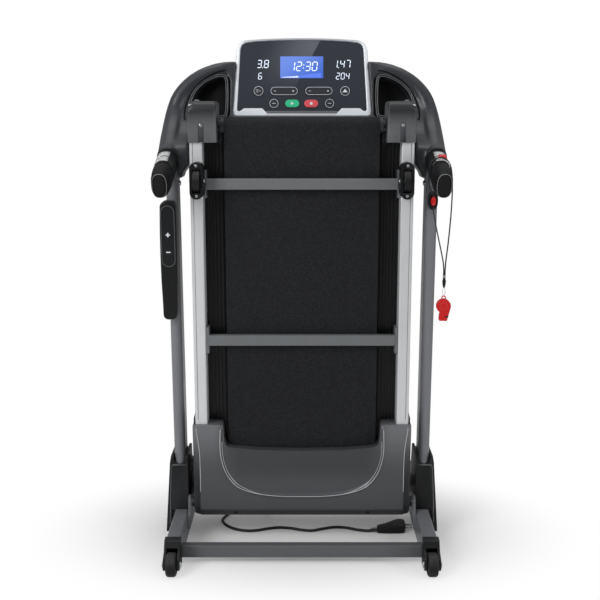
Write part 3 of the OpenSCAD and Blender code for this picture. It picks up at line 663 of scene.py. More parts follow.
softbox("key_left", (-2.2, -2.4, 2.4), (0, 0, 0.7), (1.4, 2.0), 70)
softbox("fill_right", (2.8, -1.6, 1.8), (0, 0, 0.6), (1.0, 2.2), 26)
softbox("top", (0.0, 0.1, 3.4), (0, 0, 0.8), (2.4, 1.4), 18)
bpy.context.scene.view_settings.view_transform = "Standard"
print("lamps:", len(bpy.data.lights))

# %% [markdown]
# ## Console
# The console is a silver moulded surround with a glossy black window, a blue display and
# membrane keys. The surround is lofted from one outline at several insets, which rounds its
# outer edge and steps it down to the glass. The printed marks are thin slabs on the face.

# %% Frame of the console face
def arc(cx, cy, radius, start, end, steps):
    """Points of an arc between two angles in degrees."""
    turns = [radians(start + (end - start) * i / steps) for i in range(steps + 1)]
    return [(cx + radius * cos(turn), cy + radius * sin(turn)) for turn in turns]


def leaning(x, y, z, angle=0.0):
    """Places on a face that leans back: a to the right, b up the face, out towards the user."""
    c, s = cos(angle), sin(angle)
    return lambda a, b, out=0.0: mm(x + a, y - out * c + b * s, z + out * s + b * c)


CON_Y, CON_Z, CON_LEAN = 58.0, 1129.0, radians(13.8)
GLASS_IN = 1.5
KEY_OUT = 0.8
on_face = leaning(0, CON_Y, CON_Z, CON_LEAN)


def face_outline(low, high, crown, inset):
    """Outline with an arched top. low and high are the corner arcs: (x, v, radius)."""
    top = [(crown[0] * (1 - i / 8), crown[1] - inset - crown[2] * (1 - i / 8) ** 2)
           for i in range(1, 16)]
    right = (arc(low[0], low[1], low[2] - inset, -90, 0, 8)
             + arc(high[0], high[1], high[2] - inset, 0, 80, 9))
    return right + top + [(-x, v) for x, v in reversed(right)]


SURROUND = ((172, 12, 12), (143, 173.5, 30), (143, 209, 5.5))
WINDOW = ((162, 20, 8), (142, 176, 20), (142, 202.6, 5.6))
STEPS = [(SURROUND, ((3, -25.5), (0.2, -24), (0, -6), (0.5, -3.2), (1.8, -1.2), (3.8, -0.2))),
         (WINDOW, ((-3.6, 0.2), (-1.6, -0.1), (-0.6, -1.0), (-0.2, -2.4), (0, -5)))]
rings = [[on_face(u, v, out) for u, v in face_outline(*shape, inset)]
         for shape, rows in STEPS for inset, out in rows]
moulded("console_surround", [loft(rings)], "bezel_silver", replaces="console_bezel")
print("rings of the surround:", len(rings))


# %% [markdown]
# Under the window the surround swells into two flat lobes, with a dark strip between them.
# They could be cut into the surround, but thin slabs set on it keep both meshes clean.

# %% Raised lobes and dark strip under the window
def slab(outline, place, low, high):
    """A flat outline given thickness. place(a, b, out) puts its points in the frame."""
    return loft([[place(a, b, level) for a, b in outline] for level in (low, high)], True)


def face_piece(name, outlines, low, high, look, body="base", edge=0.0, place=on_face,
               replaces=""):
    """Flat shapes on the console or the pod, with a little thickness and a body to ride on."""
    return moulded(name, [slab(outline, place, low, high) for outline in outlines], look, body,
                   replaces, edge, smooth=False)


lobe = [(92, 1.2), (92, 7.5), (104, 20), (106, 20.6), (150, 20.6), (153, 20), (160, 14.5), (168, 12),
        (176, 10), (181, 6), (181, 1.2)]
mirrored = [(-u, v) for u, v in reversed(lobe)]
strip = [(-97, 6.6), (97, 6.6), (92.5, 13.4), (-92.5, 13.4)]
face_piece("surround_lobes", [lobe, mirrored], -2.5, 0.9, "bezel_silver", edge=0.7)
face_piece("lower_strip", [strip], -2.0, 0.35, "crossbar_grey", edge=0.3)
print("lobe points:", len(lobe))

# %% [markdown]
# The window is a sheet of smoked plastic. Its colour carries a painted reflection: a lighter
# diagonal field, which fades away from a sharp slanted edge, so the material reads where it is on the
# sheet.


# %% Smoked window
def beside_slope(tree, slope, start):
    """How far a place is to the right of a slanted line on the console."""
    place = axes(tree)
    return calc(tree, "ADD", place["X"], calc(tree, "MULTIPLY_ADD", place["Z"], slope, start))


def painted_reflection_field(tree, colour):
    """A painted reflection: a lighter field left of a slanted edge, which fades to the left and
    downwards.
    """
    away = beside_slope(tree, -0.545, 0.6735)
    field = product(tree, ramp(tree, away, 0.0012, -0.0012), spread(tree, away, -0.15, 0.0))
    mask = product(tree, field, spread(tree, axes(tree)["Z"], 1.175, 1.315, 0.0, 0.75))
    return mixed(tree, mask, colour, linear(106, 109, 118))


# The window's colour gets a painted reflection
recoloured("panel_black", painted_reflection_field)
glass = face_outline(*WINDOW, 0.5)
face_piece("console_window", [glass], -4.4, -GLASS_IN, "panel_black", edge=0.5, replaces="console_panel")
print("window points:", len(glass))

# %% [markdown]
# ## Lit display
# The display glows blue, lighter at its upper left. Its numbers are drawn with seven segments
# each; the values are plain examples, and the small printed labels are left bare.


# %% Glow of the display
def lit_blue():
    """A blue glow, lighter at its upper left, with a trace of the display's cells."""
    tree, shader = bare_material("display_blue")
    fade = spread(tree, beside_slope(tree, -1.6, 2.012), -0.07, 0.08)
    colour = mixed(tree, fade, linear(116, 149, 236), linear(68, 110, 212))
    speckled = mixed(tree, 0.04, colour, noise(tree, spot(tree), 1500.0), blend_type="OVERLAY")
    fed(tree, shader, Emission_Color=speckled, Emission_Strength=0.85, Roughness=0.3,
        Base_Color=linear(26, 40, 90))


lit_blue()
DISPLAY_FOOT, DISPLAY_TOP = 102.5, 157.5
corners = ((54.5, DISPLAY_FOOT, -90), (54.5, DISPLAY_TOP, 0), (-55.5, DISPLAY_TOP, 90),
           (-55.5, DISPLAY_FOOT, 180))
display_frame = [point for x, y, start in corners for point in arc(x, y, 1.5, start, start + 90, 3)]
face_piece("display", [display_frame], -GLASS_IN - 1.0, 0.25 - GLASS_IN, "display_blue")
print("corners of the display:", len(display_frame))

# %% Figures of seven segments
# Ends of the seven segments of a figure, with its corners at 0 and 1
SEGMENTS = {"a": (0, 1, 1, 1), "b": (1, 1, 1, 0.5), "c": (1, 0.5, 1, 0), "d": (0, 0, 1, 0),
            "e": (0, 0.5, 0, 0), "f": (0, 1, 0, 0.5), "g": (0, 0.5, 1, 0.5)}
DIGITS = dict(zip("0123456789", "abcdef bc abged abgcd fgbc afgcd afgcde abc abcdefg abcdfg".split()))
ITALIC = 0.12
# Parts of a figure's height
FIGURE_WIDTH, HALF_STROKE, STROKE_GAP, DOT = 0.52, 0.05, 0.03, 0.065
FIGURE_STEP, COLON_STEP, POINT_STEP = 0.78, 0.24, 0.16


def bar_between(a, b, half, tip):
    """A bar with pointed ends between two points."""
    ahead = (b - a).normalized()
    across = Vector((-ahead.y, ahead.x)) * half
    a, b = a + ahead * tip, b - ahead * tip
    near, far = a + ahead * half, b - ahead * half
    return a, near - across, far - across, b, far + across, near + across


def digit(figure, u, v, height):
    """Outlines of the lit segments of one figure, with its lower left corner at (u, v)."""
    shapes = []
    for name in DIGITS[figure]:
        ax, ay, bx, by = SEGMENTS[name]
        ends = (Vector((x * FIGURE_WIDTH, y)) * height for x, y in ((ax, ay), (bx, by)))
        shape = bar_between(*ends, height * HALF_STROKE, height * STROKE_GAP)
        shapes.append([(u + x + ITALIC * y, v + y) for x, y in shape])
    return shapes


def dot(u, v, radius, steps=10):
    """Outline of a small disc."""
    return arc(u, v, radius, 0, 360 - 360 / steps, steps - 1)


def number(text, u, v, height):
    """Outlines of a whole number, with points and colons."""
    shapes = []
    for figure in text:
        if figure == ".":
            shapes.append(dot(u - height * 0.06, v, height * DOT))
            u += height * POINT_STEP
        elif figure == ":":
            shapes += [dot(u + ITALIC * height * k, v + height * k, height * DOT) for k in (0.3, 0.68)]
            u += height * COLON_STEP
        else:
            shapes += digit(figure, u, v, height)
            u += height * FIGURE_STEP
    return shapes


FIGURES = [("12:30", -33, 121, 23), ("3.8", -118, 129, 19.5), ("6", -115, 98.5, 16),
           ("1.47", 82, 129, 19.5), ("204", 90, 98.5, 16)]
figures = face_piece("lit_figures", [shape for row in FIGURES for shape in number(*row)],
                     0.15 - GLASS_IN, 0.4 - GLASS_IN, "lit_segment")
print("segments:", len(figures.data.polygons))

# %% [markdown]
# ## Repeated pieces with Geometry Nodes
# Screws and graph bars are one small shape each, set at many places. The places are the
# points of a small mesh, with a turn and a size stored on each, and a node tree puts a copy
# of the shape on every point, makes the copies real and gives them their finish.


# %% Tree that sets a shape on points
def copies_tree():
    """Nodes that set a shape on every point, turned and sized by what is stored there."""
    tree = bpy.data.node_groups.new("copies_on_points", "GeometryNodeTree")
    for label, kind in (("Points", "Geometry"), ("Shape", "Object"), ("Finish", "Material")):
        tree.interface.new_socket(label, in_out="INPUT", socket_type="NodeSocket" + kind)
    tree.interface.new_socket("Copies", in_out="OUTPUT", socket_type="NodeSocketGeometry")
    inp, out = tree.nodes.new("NodeGroupInput"), tree.nodes.new("NodeGroupOutput")
    info, turn, size, place, real, look = (tree.nodes.new("GeometryNode" + kind) for kind in (
        "ObjectInfo", "InputNamedAttribute", "InputNamedAttribute", "InstanceOnPoints",
        "RealizeInstances", "SetMaterial"))
    turn.data_type = size.data_type = "FLOAT_VECTOR"
    turn.inputs["Name"].default_value, size.inputs["Name"].default_value = "turn", "size"
    for source, target in ((inp.outputs["Shape"], info.inputs["Object"]),
                           (inp.outputs["Points"], place.inputs["Points"]),
                           (info.outputs["Geometry"], place.inputs["Instance"]),
                           (turn.outputs["Attribute"], place.inputs["Rotation"]),
                           (size.outputs["Attribute"], place.inputs["Scale"]),
                           (place.outputs[0], real.inputs[0]), (real.outputs[0], look.inputs[0]),
                           (inp.outputs["Finish"], look.inputs["Material"]),
                           (look.outputs[0], out.inputs["Copies"])):
        tree.links.new(source, target)
    return tree


COPIES = copies_tree()


def copies(name, shape, places, look, body="base"):
    """One piece made of copies of a shape. places holds (point, turn in radians, size)."""
    piece = mesh_piece(name, [row[0] for row in places], [])
    for label, k in (("turn", 1), ("size", 2)):
        stored = piece.data.attributes.new(label, "FLOAT_VECTOR", "POINT")
        stored.data.foreach_set("vector", [x for row in places for x in row[k]])
    modifier = piece.modifiers.new("copies", "NODES")
    modifier.node_group = COPIES
    sockets = {s.name: s.identifier for s in COPIES.interface.items_tree if s.in_out == "INPUT"}
    modifier[sockets["Shape"]] = shape
    modifier[sockets["Finish"]] = MATERIALS[look]
    shaded(applied(piece), False)
    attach(piece, body)
    print(name, "copies:", len(places), "faces:", len(piece.data.polygons))


# %% Shapes that are only copied
def revolved(profile, steps):
    """A round shape from (radius, height) pairs, standing along +Z, closed at both ends."""
    return loft([[Vector((r * MM * cos(tau * j / steps),
                          r * MM * sin(tau * j / steps), h * MM)) for j in range(steps)]
                 for r, h in profile])


# Pan head screw of 1 mm radius with a recess, and a square bar of 1 m
SCREW = [(1.0, -0.3), (1.0, 0.12), (0.88, 0.3), (0.62, 0.4), (0.5, 0.4), (0.42, 0.1)]
SQUARE = [(-0.5, -0.5), (0.5, -0.5), (0.5, 0.5), (-0.5, 0.5)]
screw = mesh_piece("screw_shape", *revolved(SCREW, 12), smooth=False)
bar = mesh_piece("bar_shape", *loft([[Vector((x, y, z)) for x, y in SQUARE] for z in (0.0, 1.0)]),
                 smooth=False)
print("faces of the screw:", len(screw.data.polygons))


# %% [markdown]
# The display's lower edge shows a graph: bright bars for what is done and dim ones for what
# is ahead. All of its bars are copies of one bar, and only their heights differ.

# %% Graph on the display
def graph_row(name, start, step, width, heights, look):
    """Upright bars side by side on the lower edge of the display; sizes in millimetres."""
    rows = [(on_face(start + step * i, DISPLAY_FOOT, 0.3 - GLASS_IN), (-CON_LEAN, 0, 0),
             (width * MM, 0.2 * MM, height * MM)) for i, height in enumerate(heights)]
    copies(name, bar, rows, look)


graph_row("graph_bars", -51, 1.95, 1.35, [1.2 + 0.13 * i + 1.1 * (i % 4 == 3) for i in range(22)],
          "lit_segment")
graph_row("graph_forecast", -6, 2.9, 2.3, [4.6 + 7.5 * sin(0.075 * i) ** 0.9 for i in range(20)],
          "dim_segment")
print("rows of the graph: 2")

# %% [markdown]
# ## Keys
# Every key is a CAD part that can be pressed. Its printed ring and symbol are thin slabs that
# ride on that key, so they sink with it. Words are left off: the start key has a triangle,
# the stop key a square, and the rockers have a minus and a plus.


# %% Printed rings and symbols
def capsule(u, v, width, height, steps=10):
    """Outline of a pill that lies on its side; a circle where width equals height."""
    r = height / 2
    reach = width / 2 - r
    return arc(u + reach, v, r, -90, 90, steps) + arc(u - reach, v, r, 90, 270, steps)


def ring_band(outer, inner, low, high, place=on_face):
    """Points and faces of a flat closed band between two outlines."""
    points = [place(a, b, level) for outline, level in
              ((outer, low), (outer, high), (inner, high), (inner, low)) for a, b in outline]
    return points, skin(len(outer), 4, True)


def plus(u, v, size, arm):
    """Outline of a plus sign."""
    a, b = size / 2, arm / 2
    return [(u + x, v + y) for x, y in ((b, -a), (b, -b), (a, -b), (a, b), (b, b), (b, a), (-b, a),
                                        (-b, b), (-a, b), (-a, -b), (-b, -b), (-b, -a))]


def box(u, v, half_width, half_height):
    """Outline of a rectangle round a place."""
    return [(u - half_width, v - half_height), (u + half_width, v - half_height),
            (u + half_width, v + half_height), (u - half_width, v + half_height)]


def minus(u, v, size, arm):
    return box(u, v, size / 2, arm / 2)


INK = 0.12
RING_WIDTH = 1.8
HIGH, LOW = 66.5, 33.4
KEY_MARKS = {
    "program_key": ((-114, HIGH, 24.6, 24.6), [minus(-117.5, HIGH + 2.5, 6, 1.1),
                                               minus(-117.5, HIGH - 2.5, 6, 1.1),
                                               minus(-110.5, HIGH, 4.6, 1.1)]),
    "fan_key": ((113.4, HIGH, 24.6, 24.6), [[(106.9, HIGH - 3.6), (119.9, HIGH - 3.6),
                                             (113.4, HIGH + 5.2)]]),
    "mode_key": ((-73.6, LOW, 23, 23), [minus(-73.6, LOW, 9, 1.2)]),
    "sound_key": ((72.6, LOW, 23, 23), [minus(72.6, LOW, 9, 1.2)]),
    "speed_rocker": ((-46.7, HIGH, 70.6, 20.6), [minus(-71, HIGH, 5.5, 1.2),
                                                 plus(-23, HIGH, 5.5, 1.2)]),
    "incline_rocker": ((44.7, HIGH, 70.6, 20.6), [minus(20.4, HIGH, 5.5, 1.2),
                                                  plus(68.4, HIGH, 5.5, 1.2)]),
    "start_key": (None, [[(-29, LOW - 4.2), (-21, LOW), (-29, LOW + 4.2)]]),
    "stop_key": (None, [box(24.4, LOW, 3.4, 3.4)]),
}
for key, (ring, signs) in KEY_MARKS.items():
    parts = [slab(sign, on_face, KEY_OUT - 0.05, KEY_OUT + INK) for sign in signs]
    if ring:
        u, v, width, height = ring
        parts.append(ring_band(capsule(*ring), capsule(u, v, width - RING_WIDTH, height - RING_WIDTH),
                               KEY_OUT - 0.05, KEY_OUT + INK))
    moulded(key + "_marks", parts, "white_ink", key, smooth=False)
print("marked keys:", len(KEY_MARKS))

# %% [markdown]
# ## Console shell
# The real shell is one large moulding: a rounded bar that sweeps down from the console to each
# grip, with a flatter wing and a deep tray inside it. Its form is merged here from the CAD
# solid and two swept bars by a voxel remesh, then relaxed so that every edge is soft.

# %% Swept bars
BAR_PATH = [(172, 116, 1249, 38, 44), (202, 98, 1247, 40, 46), (234, 90, 1240, 40, 46),
            (268, 86, 1225, 41, 47), (298, 81, 1202, 42, 50), (320, 74, 1173, 44, 54),
            (331, 66, 1140, 48, 60), (336, 46, 1104, 52, 68), (338, 20, 1071, 55, 80),
            (338, -10, 1046, 56.5, 84), (337.5, -42, 1026, 57, 81), (337, -72, 1015, 56, 76)]
UP_AND_OUT = Vector((0, -1, 0.8))
ARM_START, ARM_KEPT = -40.0, 0.68
SHELL_MIDDLE, NARROWER, LOWER = 1130.0, 0.986, 0.988


def rounded_oval(width, height, power=2.6, count=40):
    """Points of a rounded oval, from a plain ellipse (power 2) towards a box."""
    points = []
    for i in range(count):
        angle = tau * i / count
        c, s = cos(angle), sin(angle)
        points.append((width / 2 * copysign(abs(c) ** (2 / power), c),
                       height / 2 * copysign(abs(s) ** (2 / power), s)))
    return points


def swept_oval(rows, side, steps=4, count=28, power=2.3):
    """Oval rings along a path. Each row is x, y, z, the width and the height of the oval."""
    line = [(Vector((x * side, y, z)), w, h) for x, y, z, w, h in catmull(rows, steps)]
    rings = []
    for i, (centre, width, height) in enumerate(line):
        ahead = heading([row[0] for row in line], i)
        front = (UP_AND_OUT - ahead * ahead.dot(UP_AND_OUT)).normalized()
        across = ahead.cross(front)
        rings.append([(centre + across * a + front * b) * MM
                      for a, b in rounded_oval(width, height, power, count)])
    return loft(rings)


def drawn_in(place):
    """A corner of the CAD shell, a little nearer the middle and with shorter arms."""
    x, y, z = place / MM
    shorter = y if y > ARM_START else ARM_START + (y - ARM_START) * ARM_KEPT
    return mm(x * NARROWER, shorter, SHELL_MIDDLE + (z - SHELL_MIDDLE) * LOWER)


ARM_BACK = [(2, 973, 362), (62, 1020, 362), (112, 1078, 359), (140, 1150, 352), (145, 1180, 343),
            (147, 1212, 320)]
ARM_INNER, ARM_DEPTHS = 309.0, (1, 11)


def both(make):
    """What a function makes for the left side (-1) and for the right side (1)."""
    return [make(side) for side in (-1, 1)]


def back_plate(side):
    """A thick wall behind an arm, so that the merged skin there stays closed."""
    line = catmull(ARM_BACK, 4)
    near, far = ARM_DEPTHS
    rings = []
    for i, (y, z, reach) in enumerate(line):
        ahead = heading([place[:2] for place in line], i)
        rings.append([drawn_in(mm(side * x, y - ahead.y * depth, z + ahead.x * depth))
                      for x, depth in ((ARM_INNER, near), (reach, near), (reach, far),
                                       (ARM_INNER, far))])
    return loft(rings)


print("rings of a bar:", len(catmull(BAR_PATH, 4)))

# %% Merged shell
source = nodes["console_shell"].data
cad_form = [drawn_in(v.co) for v in source.vertices], [tuple(p.vertices) for p in source.polygons]
bars = both(lambda side: swept_oval(BAR_PATH, side)) + both(back_plate)
shell = mesh_piece("console_body", *together([cad_form] + bars))
modify(shell, "REMESH", mode="VOXEL", voxel_size=4.0 * MM)
modify(shell, "SMOOTH", factor=0.5, iterations=10)
declared(shaded(applied(shell)), "shell_plastic", replaces="console_shell")
print("shell faces:", len(shell.data.polygons))

# %% [markdown]
# The tray beside the console is lined in near black, painted shade for its depth, with two fine
# beads round its rim as painted highlights and a dark line of painted shade in the fold between
# the wing and the bar.

# %% Outlines and places of the tray
TRAY_EDGE = [(192, 1134), (192, 1225), (203, 1238), (230, 1235), (266, 1216), (289, 1189),
             (300, 1152), (300, 1128), (290, 1122), (202, 1122)]
TRAY_FLOOR = 101.0
GROOVE = [(200, 1247), (226, 1240), (263, 1219), (288, 1190), (302, 1160), (306, 1130), (303, 1119)]


def wing_front(z):
    """How far the front of the wing is from the middle at that height."""
    return 34 + (z - 1105) * 16 / 35 if z < 1140 else 50 + (z - 1140) * 34 / 145


shell_surface = BVHTree.FromPolygons([v.co for v in shell.data.vertices],
                                     [tuple(p.vertices) for p in shell.data.polygons])


def on_shell(x, z, out):
    """A place in front of the merged shell, found by a ray that comes from the user."""
    hit = shell_surface.ray_cast(mm(x, -200, z), FORWARD)[0]
    return mm(x, (hit.y / MM if hit else wing_front(z)) - out, z)


def grown(outline, reach):
    """An outline moved outwards by that much, corner by corner."""
    made = []
    for i, point in enumerate(outline):
        before, after = Vector(outline[i - 1]), Vector(outline[(i + 1) % len(outline)])
        here = Vector(point)
        a, b = (here - before).normalized(), (after - here).normalized()
        normal = Vector((a.y + b.y, -a.x - b.x))
        made.append(tuple(here + normal.normalized() * reach / max((1 + a.dot(b)) / 2, 0.35) ** 0.5))
    return made


def closed_smooth(points, steps):
    """A closed outline with rounded corners that still passes near its own points."""
    for _ in range(steps):
        points = [tuple(a[k] * near + b[k] * (1 - near) for k in (0, 1))
                  for a, b in zip(points, points[1:] + points[:1]) for near in (0.75, 0.25)]
    return points


def on_wing(side, outline, out):
    """An outline laid on the front of the wing."""
    return [mm(side * x, wing_front(z) - out, z) for x, z in outline]


tray = closed_smooth(TRAY_EDGE, 2)
print("corners of the tray:", len(tray))


# %% Tray liners, rim beads and grooves
def tray_shade_liner(side):
    """A near-black lining from the floor of the tray up to its edge: painted shade inside the tray."""
    floor = [[mm(side * x, TRAY_FLOOR + raised, z) for x, z in grown(tray, reach)]
             for raised, reach in ((1, -0.4), (0, -4))]
    return loft([floor[0], on_wing(side, tray, 0.8), on_wing(side, grown(tray, -2.0), 0.8), floor[1]])


def bead_loop(line, radius, count=8):
    """Points and faces of a round bead along a closed loop."""
    ways = [(after - line[i - 1]).normalized() for i, after in enumerate(line[1:] + line[:1])]
    points = [point for place, way in zip(line, ways)
              for point in round_ring(place, way, FORWARD, radius, count)]
    return points, skin(count, len(line), True)


def tray_fold_shade(side):
    """A dark line in the fold between the wing and the bar: painted shade in the fold."""
    return tube([on_shell(side * x, z, -0.9) for x, z in catmull(GROOVE, 4)], 2.4, 10)


moulded("tray_grooves", both(tray_fold_shade), "tray_black")
moulded("tray_liners", both(tray_shade_liner), "tray_black")
# The two rim beads are painted highlights on the tray's edge
moulded("tray_rim_beads", [bead_loop(on_wing(side, grown(tray, reach), out), radius) for side in (-1, 1)
                           for reach, out, radius in ((1.5, 0.7, 1.3), (6.0, 0.5, 1.2))],
        "cap_plastic")
print("beads round the rims:", 4)

# %% [markdown]
# ## Grips
# Each grip is a soft sleeve that widens towards its end, where an inset oval plug closes it.
# A bright band near the mouth reads the pulse, and the right grip carries the red quick stop.

# %% Grips, plugs and mouth rings
GRIP_X, MOUTH_Y, MOUTH_Z, GRIP_FALL = 337.0, -86.0, 1011.0, radians(17)


def on_grip(side):
    """Places on a grip: across, square to it, and out from its mouth."""
    return leaning(side * GRIP_X, MOUTH_Y, MOUTH_Z, -GRIP_FALL)


def ovals(place, rows, power=2.6, count=40):
    """A skin over rounded ovals. Each row is how far out, the width and the height of one."""
    return loft([[place(a, b, out) for a, b in rounded_oval(width, height, power, count)]
                 for out, width, height in rows])


SLEEVE = [(83.5, 40, 58), (84, 45, 63.5), (85.4, 48, 67), (89, 49, 68.4), (100, 48.6, 68.8),
          (118, 46.5, 68.6), (132, 44, 67.6), (140, 41.5, 65.5), (145, 38.5, 62.5), (148, 34.6, 58.6),
          (149.2, 32.8, 56.8), (149.6, 31.4, 55.4), (148.2, 30, 54), (147.8, 29, 53),
          (148.4, 27.8, 51.8), (149.6, 24, 47), (150.2, 16, 36), (150.4, 6, 16)]
GRIP_PARTS = {
    "grip_sleeves": (SLEEVE, "grip_foam", "grip_foam", "grips"),
    "grip_necks": ([(-30, 48, 66), (-10, 49, 67), (30, 49, 67), (68, 48, 66.5)], "black_plastic",
                   "black_plastic", ""),
    # The groove is recessed and near black: a real groove, with painted shade in it
    "grip_grooves": ([(66, 46, 64), (72, 45.4, 63.4), (82, 45.4, 63.4), (88, 45, 63)], "tray_black",
                     "black_plastic", ""),
    # A lighter ring round each plug: a painted highlight on its rim
    "grip_plug_rings": ([(147, 35.6, 59.6), (149.6, 35.6, 59.6), (150.3, 34.4, 58.4), (149.9, 33, 57),
                         (147, 33, 57)], "cap_plastic", "grip_foam", ""),
    "grip_mouth_rings": ([(-24, 50, 70), (-20, 55, 75), (-17, 56, 76), (-14, 54.6, 74.6),
                          (-12, 50.5, 70), (-13, 46, 64)], "black_plastic", "black_plastic", ""),
}
for name, (rows, look, slot, replaced) in GRIP_PARTS.items():
    moulded(name, both(lambda side: ovals(on_grip(side), rows)), look, replaces=replaced)
print("kinds of part on a grip:", len(GRIP_PARTS))

# %% Pulse bands
BAND_STOP = 23
NECK_W, NECK_H = 49, 67


def upper_band(side, start, end, proud=1.3):
    """A bright band over the outer top of a grip's neck."""
    oval = rounded_oval(NECK_W, NECK_H, 2.6, 72)
    part = oval[1:BAND_STOP] if side > 0 else oval[37 - BAND_STOP:36]
    outline = [(x * (1 + 2 * proud / NECK_W), up * (1 + 2 * proud / NECK_H)) for x, up in part]
    outline += [(x * 0.97, up * 0.97) for x, up in reversed(part)]
    return slab(outline, on_grip(side), start, end)


moulded("pulse_bands", [upper_band(side, *ends) for side in (-1, 1) for ends in ((4, 30), (38, 65))],
        "chrome", replaces="pulse_sensors", edge=0.9)
print("points over a band:", BAND_STOP - 1)

# %% [markdown]
# ## Speed pod
# The pod on the left upright is a slim moulding that bows outwards a little. A fine bright line
# runs round its key panel, and a plus and a minus mark the two keys.

# %% Body of the pod
UPRIGHT_X, UPRIGHT_Y, TUBE_TOP, LEAN = -329.0, -14.0, 80.0, radians(2)
POD_FRONT, POD_BACK = 63.0, 28.0
on_pod = leaning(UPRIGHT_X, UPRIGHT_Y, TUBE_TOP, -LEAN)


def on_pod_face(a, b, out=0.0):
    """A place on the front of the pod."""
    return on_pod(a, b, POD_FRONT + out)


pod_outline = arc(-4, 551, 13, -90, 0, 5)[:-1] + [(10, 560), (12, 640), (13, 720)] \
    + arc(-3, 827, 16, 0, 90, 7) + arc(-12, 827, 16, 90, 180, 7) \
    + [(-29.4, 770), (-30, 700), (-29.4, 640), (-27.6, 585)] + arc(-14, 550, 13, 180, 270, 5)
moulded("speed_pod_body", [slab(pod_outline, on_pod, POD_BACK, POD_FRONT)], "black_plastic",
        replaces="speed_pod", edge=5.0, segments=5)
print("pod outline points:", len(pod_outline))


# %% Panel and marks of the pod
def panel_capsule(inset):
    """Outline of the upright pill that holds the two keys."""
    return arc(-8.5, 693.5, 16.4 - inset, 180, 360, 12) + arc(-8.5, 815, 16.4 - inset, 0, 180, 12)


face_piece("pod_key_panel", [panel_capsule(0.6)], -3.0, 0.5, "key_black", edge=0.5,
           place=on_pod_face, replaces="pod_panel")
moulded("pod_panel_line", [bead_loop([on_pod_face(a, b, 0.3) for a, b in panel_capsule(-0.2)], 0.75)],
        "cap_plastic")
POD_KEY_OUT = 1.2
for key, sign in (("pod_plus_key", plus(-8.5, 758, 11, 3.0)),
                  ("pod_minus_key", minus(-8.5, 714, 11, 2.6))):
    face_piece(key + "_mark", [sign], POD_KEY_OUT - 0.1, POD_KEY_OUT + 0.15, "white_ink",
               body=key, place=on_pod_face)
print("panel outline points:", len(panel_capsule(0.6)))

# %% [markdown]
# ## Belly pan
# The pan covers the motor from below. Its face is a height map: a flat sheet that turns back
# at its edges, with a bucket-shaped crease that follows a smooth line from horn to horn. Drawn
# as columns between the lower and the upper edge, it needs no boolean cuts.

# %% Outline and crease of the pan
PAN_FACE, PAN_BACK, PAN_FOOT, PAN_HALF = -105.0, -36.0, 78.0, 288.0
BUCKET = [(0, 137), (60, 138), (118, 145), (163, 160), (187, 181), (205, 214), (215, 262), (214, 322)]
PAN_TOP = [(0, 262), (110, 264), (180, 270), (194, 273), (200, 278), (203.5, 288), (205, 300),
           (206, 325), (207, 331), (210, 334), (218, 335), (262, 335), (278, 335), (285, 333.5),
           (287.4, 331), (288, 326)]
FLANGE = [(278, 326), (276.6, 312), (272.5, 285), (269.6, 255), (268.8, 210), (268.8, 150)]
bucket_line = [Vector(p) for p in catmull([(-x, z) for x, z in BUCKET[:0:-1]] + BUCKET, 5)]


def between(table, x):
    """The height of a line of points at x."""
    for (xa, za), (xb, zb) in zip(table, table[1:]):
        if x <= xb:
            return za + (zb - za) * (x - xa) / (xb - xa)
    return table[-1][1]


def to_bucket(x, z):
    """Distance to the crease, counted as negative inside the bucket."""
    best = 1e9
    here = Vector((x, z))
    for a, b in zip(bucket_line, bucket_line[1:]):
        along = b - a
        t = min(max((here - a).dot(along) / along.length_squared, 0), 1)
        away = here - (a + along * t)
        if away.length < abs(best):
            best = copysign(away.length, -(along.x * away.y - along.y * away.x))
    return best


print("points of the crease:", len(bucket_line))


# %% Height map of the pan
BUCKET_DEPTH, BUCKET_SLOPE, RIDGE, RIDGE_WIDTH = 5.0, 7.0, -2.0, 2.4
SHOULDER_X, SHOULDER_OUT, LIP_Z = 269, 8, 99


def eased(t):
    """A smooth step from 0 to 1."""
    t = min(max(t, 0), 1)
    return t * t * (3 - 2 * t)


def turned_back(near, radius):
    """How far a rounded edge has turned back at that distance from it."""
    return radius - sqrt(max(radius ** 2 - (radius - min(near, radius)) ** 2, 0))


def pan_face(x, z, top):
    """How far the front of the pan is from the middle at that place."""
    crease = to_bucket(x, z)
    bucket = BUCKET_DEPTH * eased(0.5 - (crease + 5) / BUCKET_SLOPE)
    ridge = RIDGE * exp(-(crease / RIDGE_WIDTH) ** 2)
    shoulder = SHOULDER_X + SHOULDER_OUT * eased((z - 250) / 65)
    side = 0.6 * max(abs(x) - shoulder, 0) + 1.6 * eased((abs(x) - shoulder) / 2)
    lip = 0.5 * max(LIP_Z - z, 0) + 1.8 * eased((LIP_Z - z) / 2)
    edge = max(turned_back(PAN_HALF - abs(x), 3), turned_back(top - z, 2.5),
               turned_back(z - PAN_FOOT, 4))
    return PAN_FACE + max(bucket + ridge, RIDGE) + side + edge + lip


print("front of the pan in its middle: %.1f mm" % pan_face(0, 200, 262))

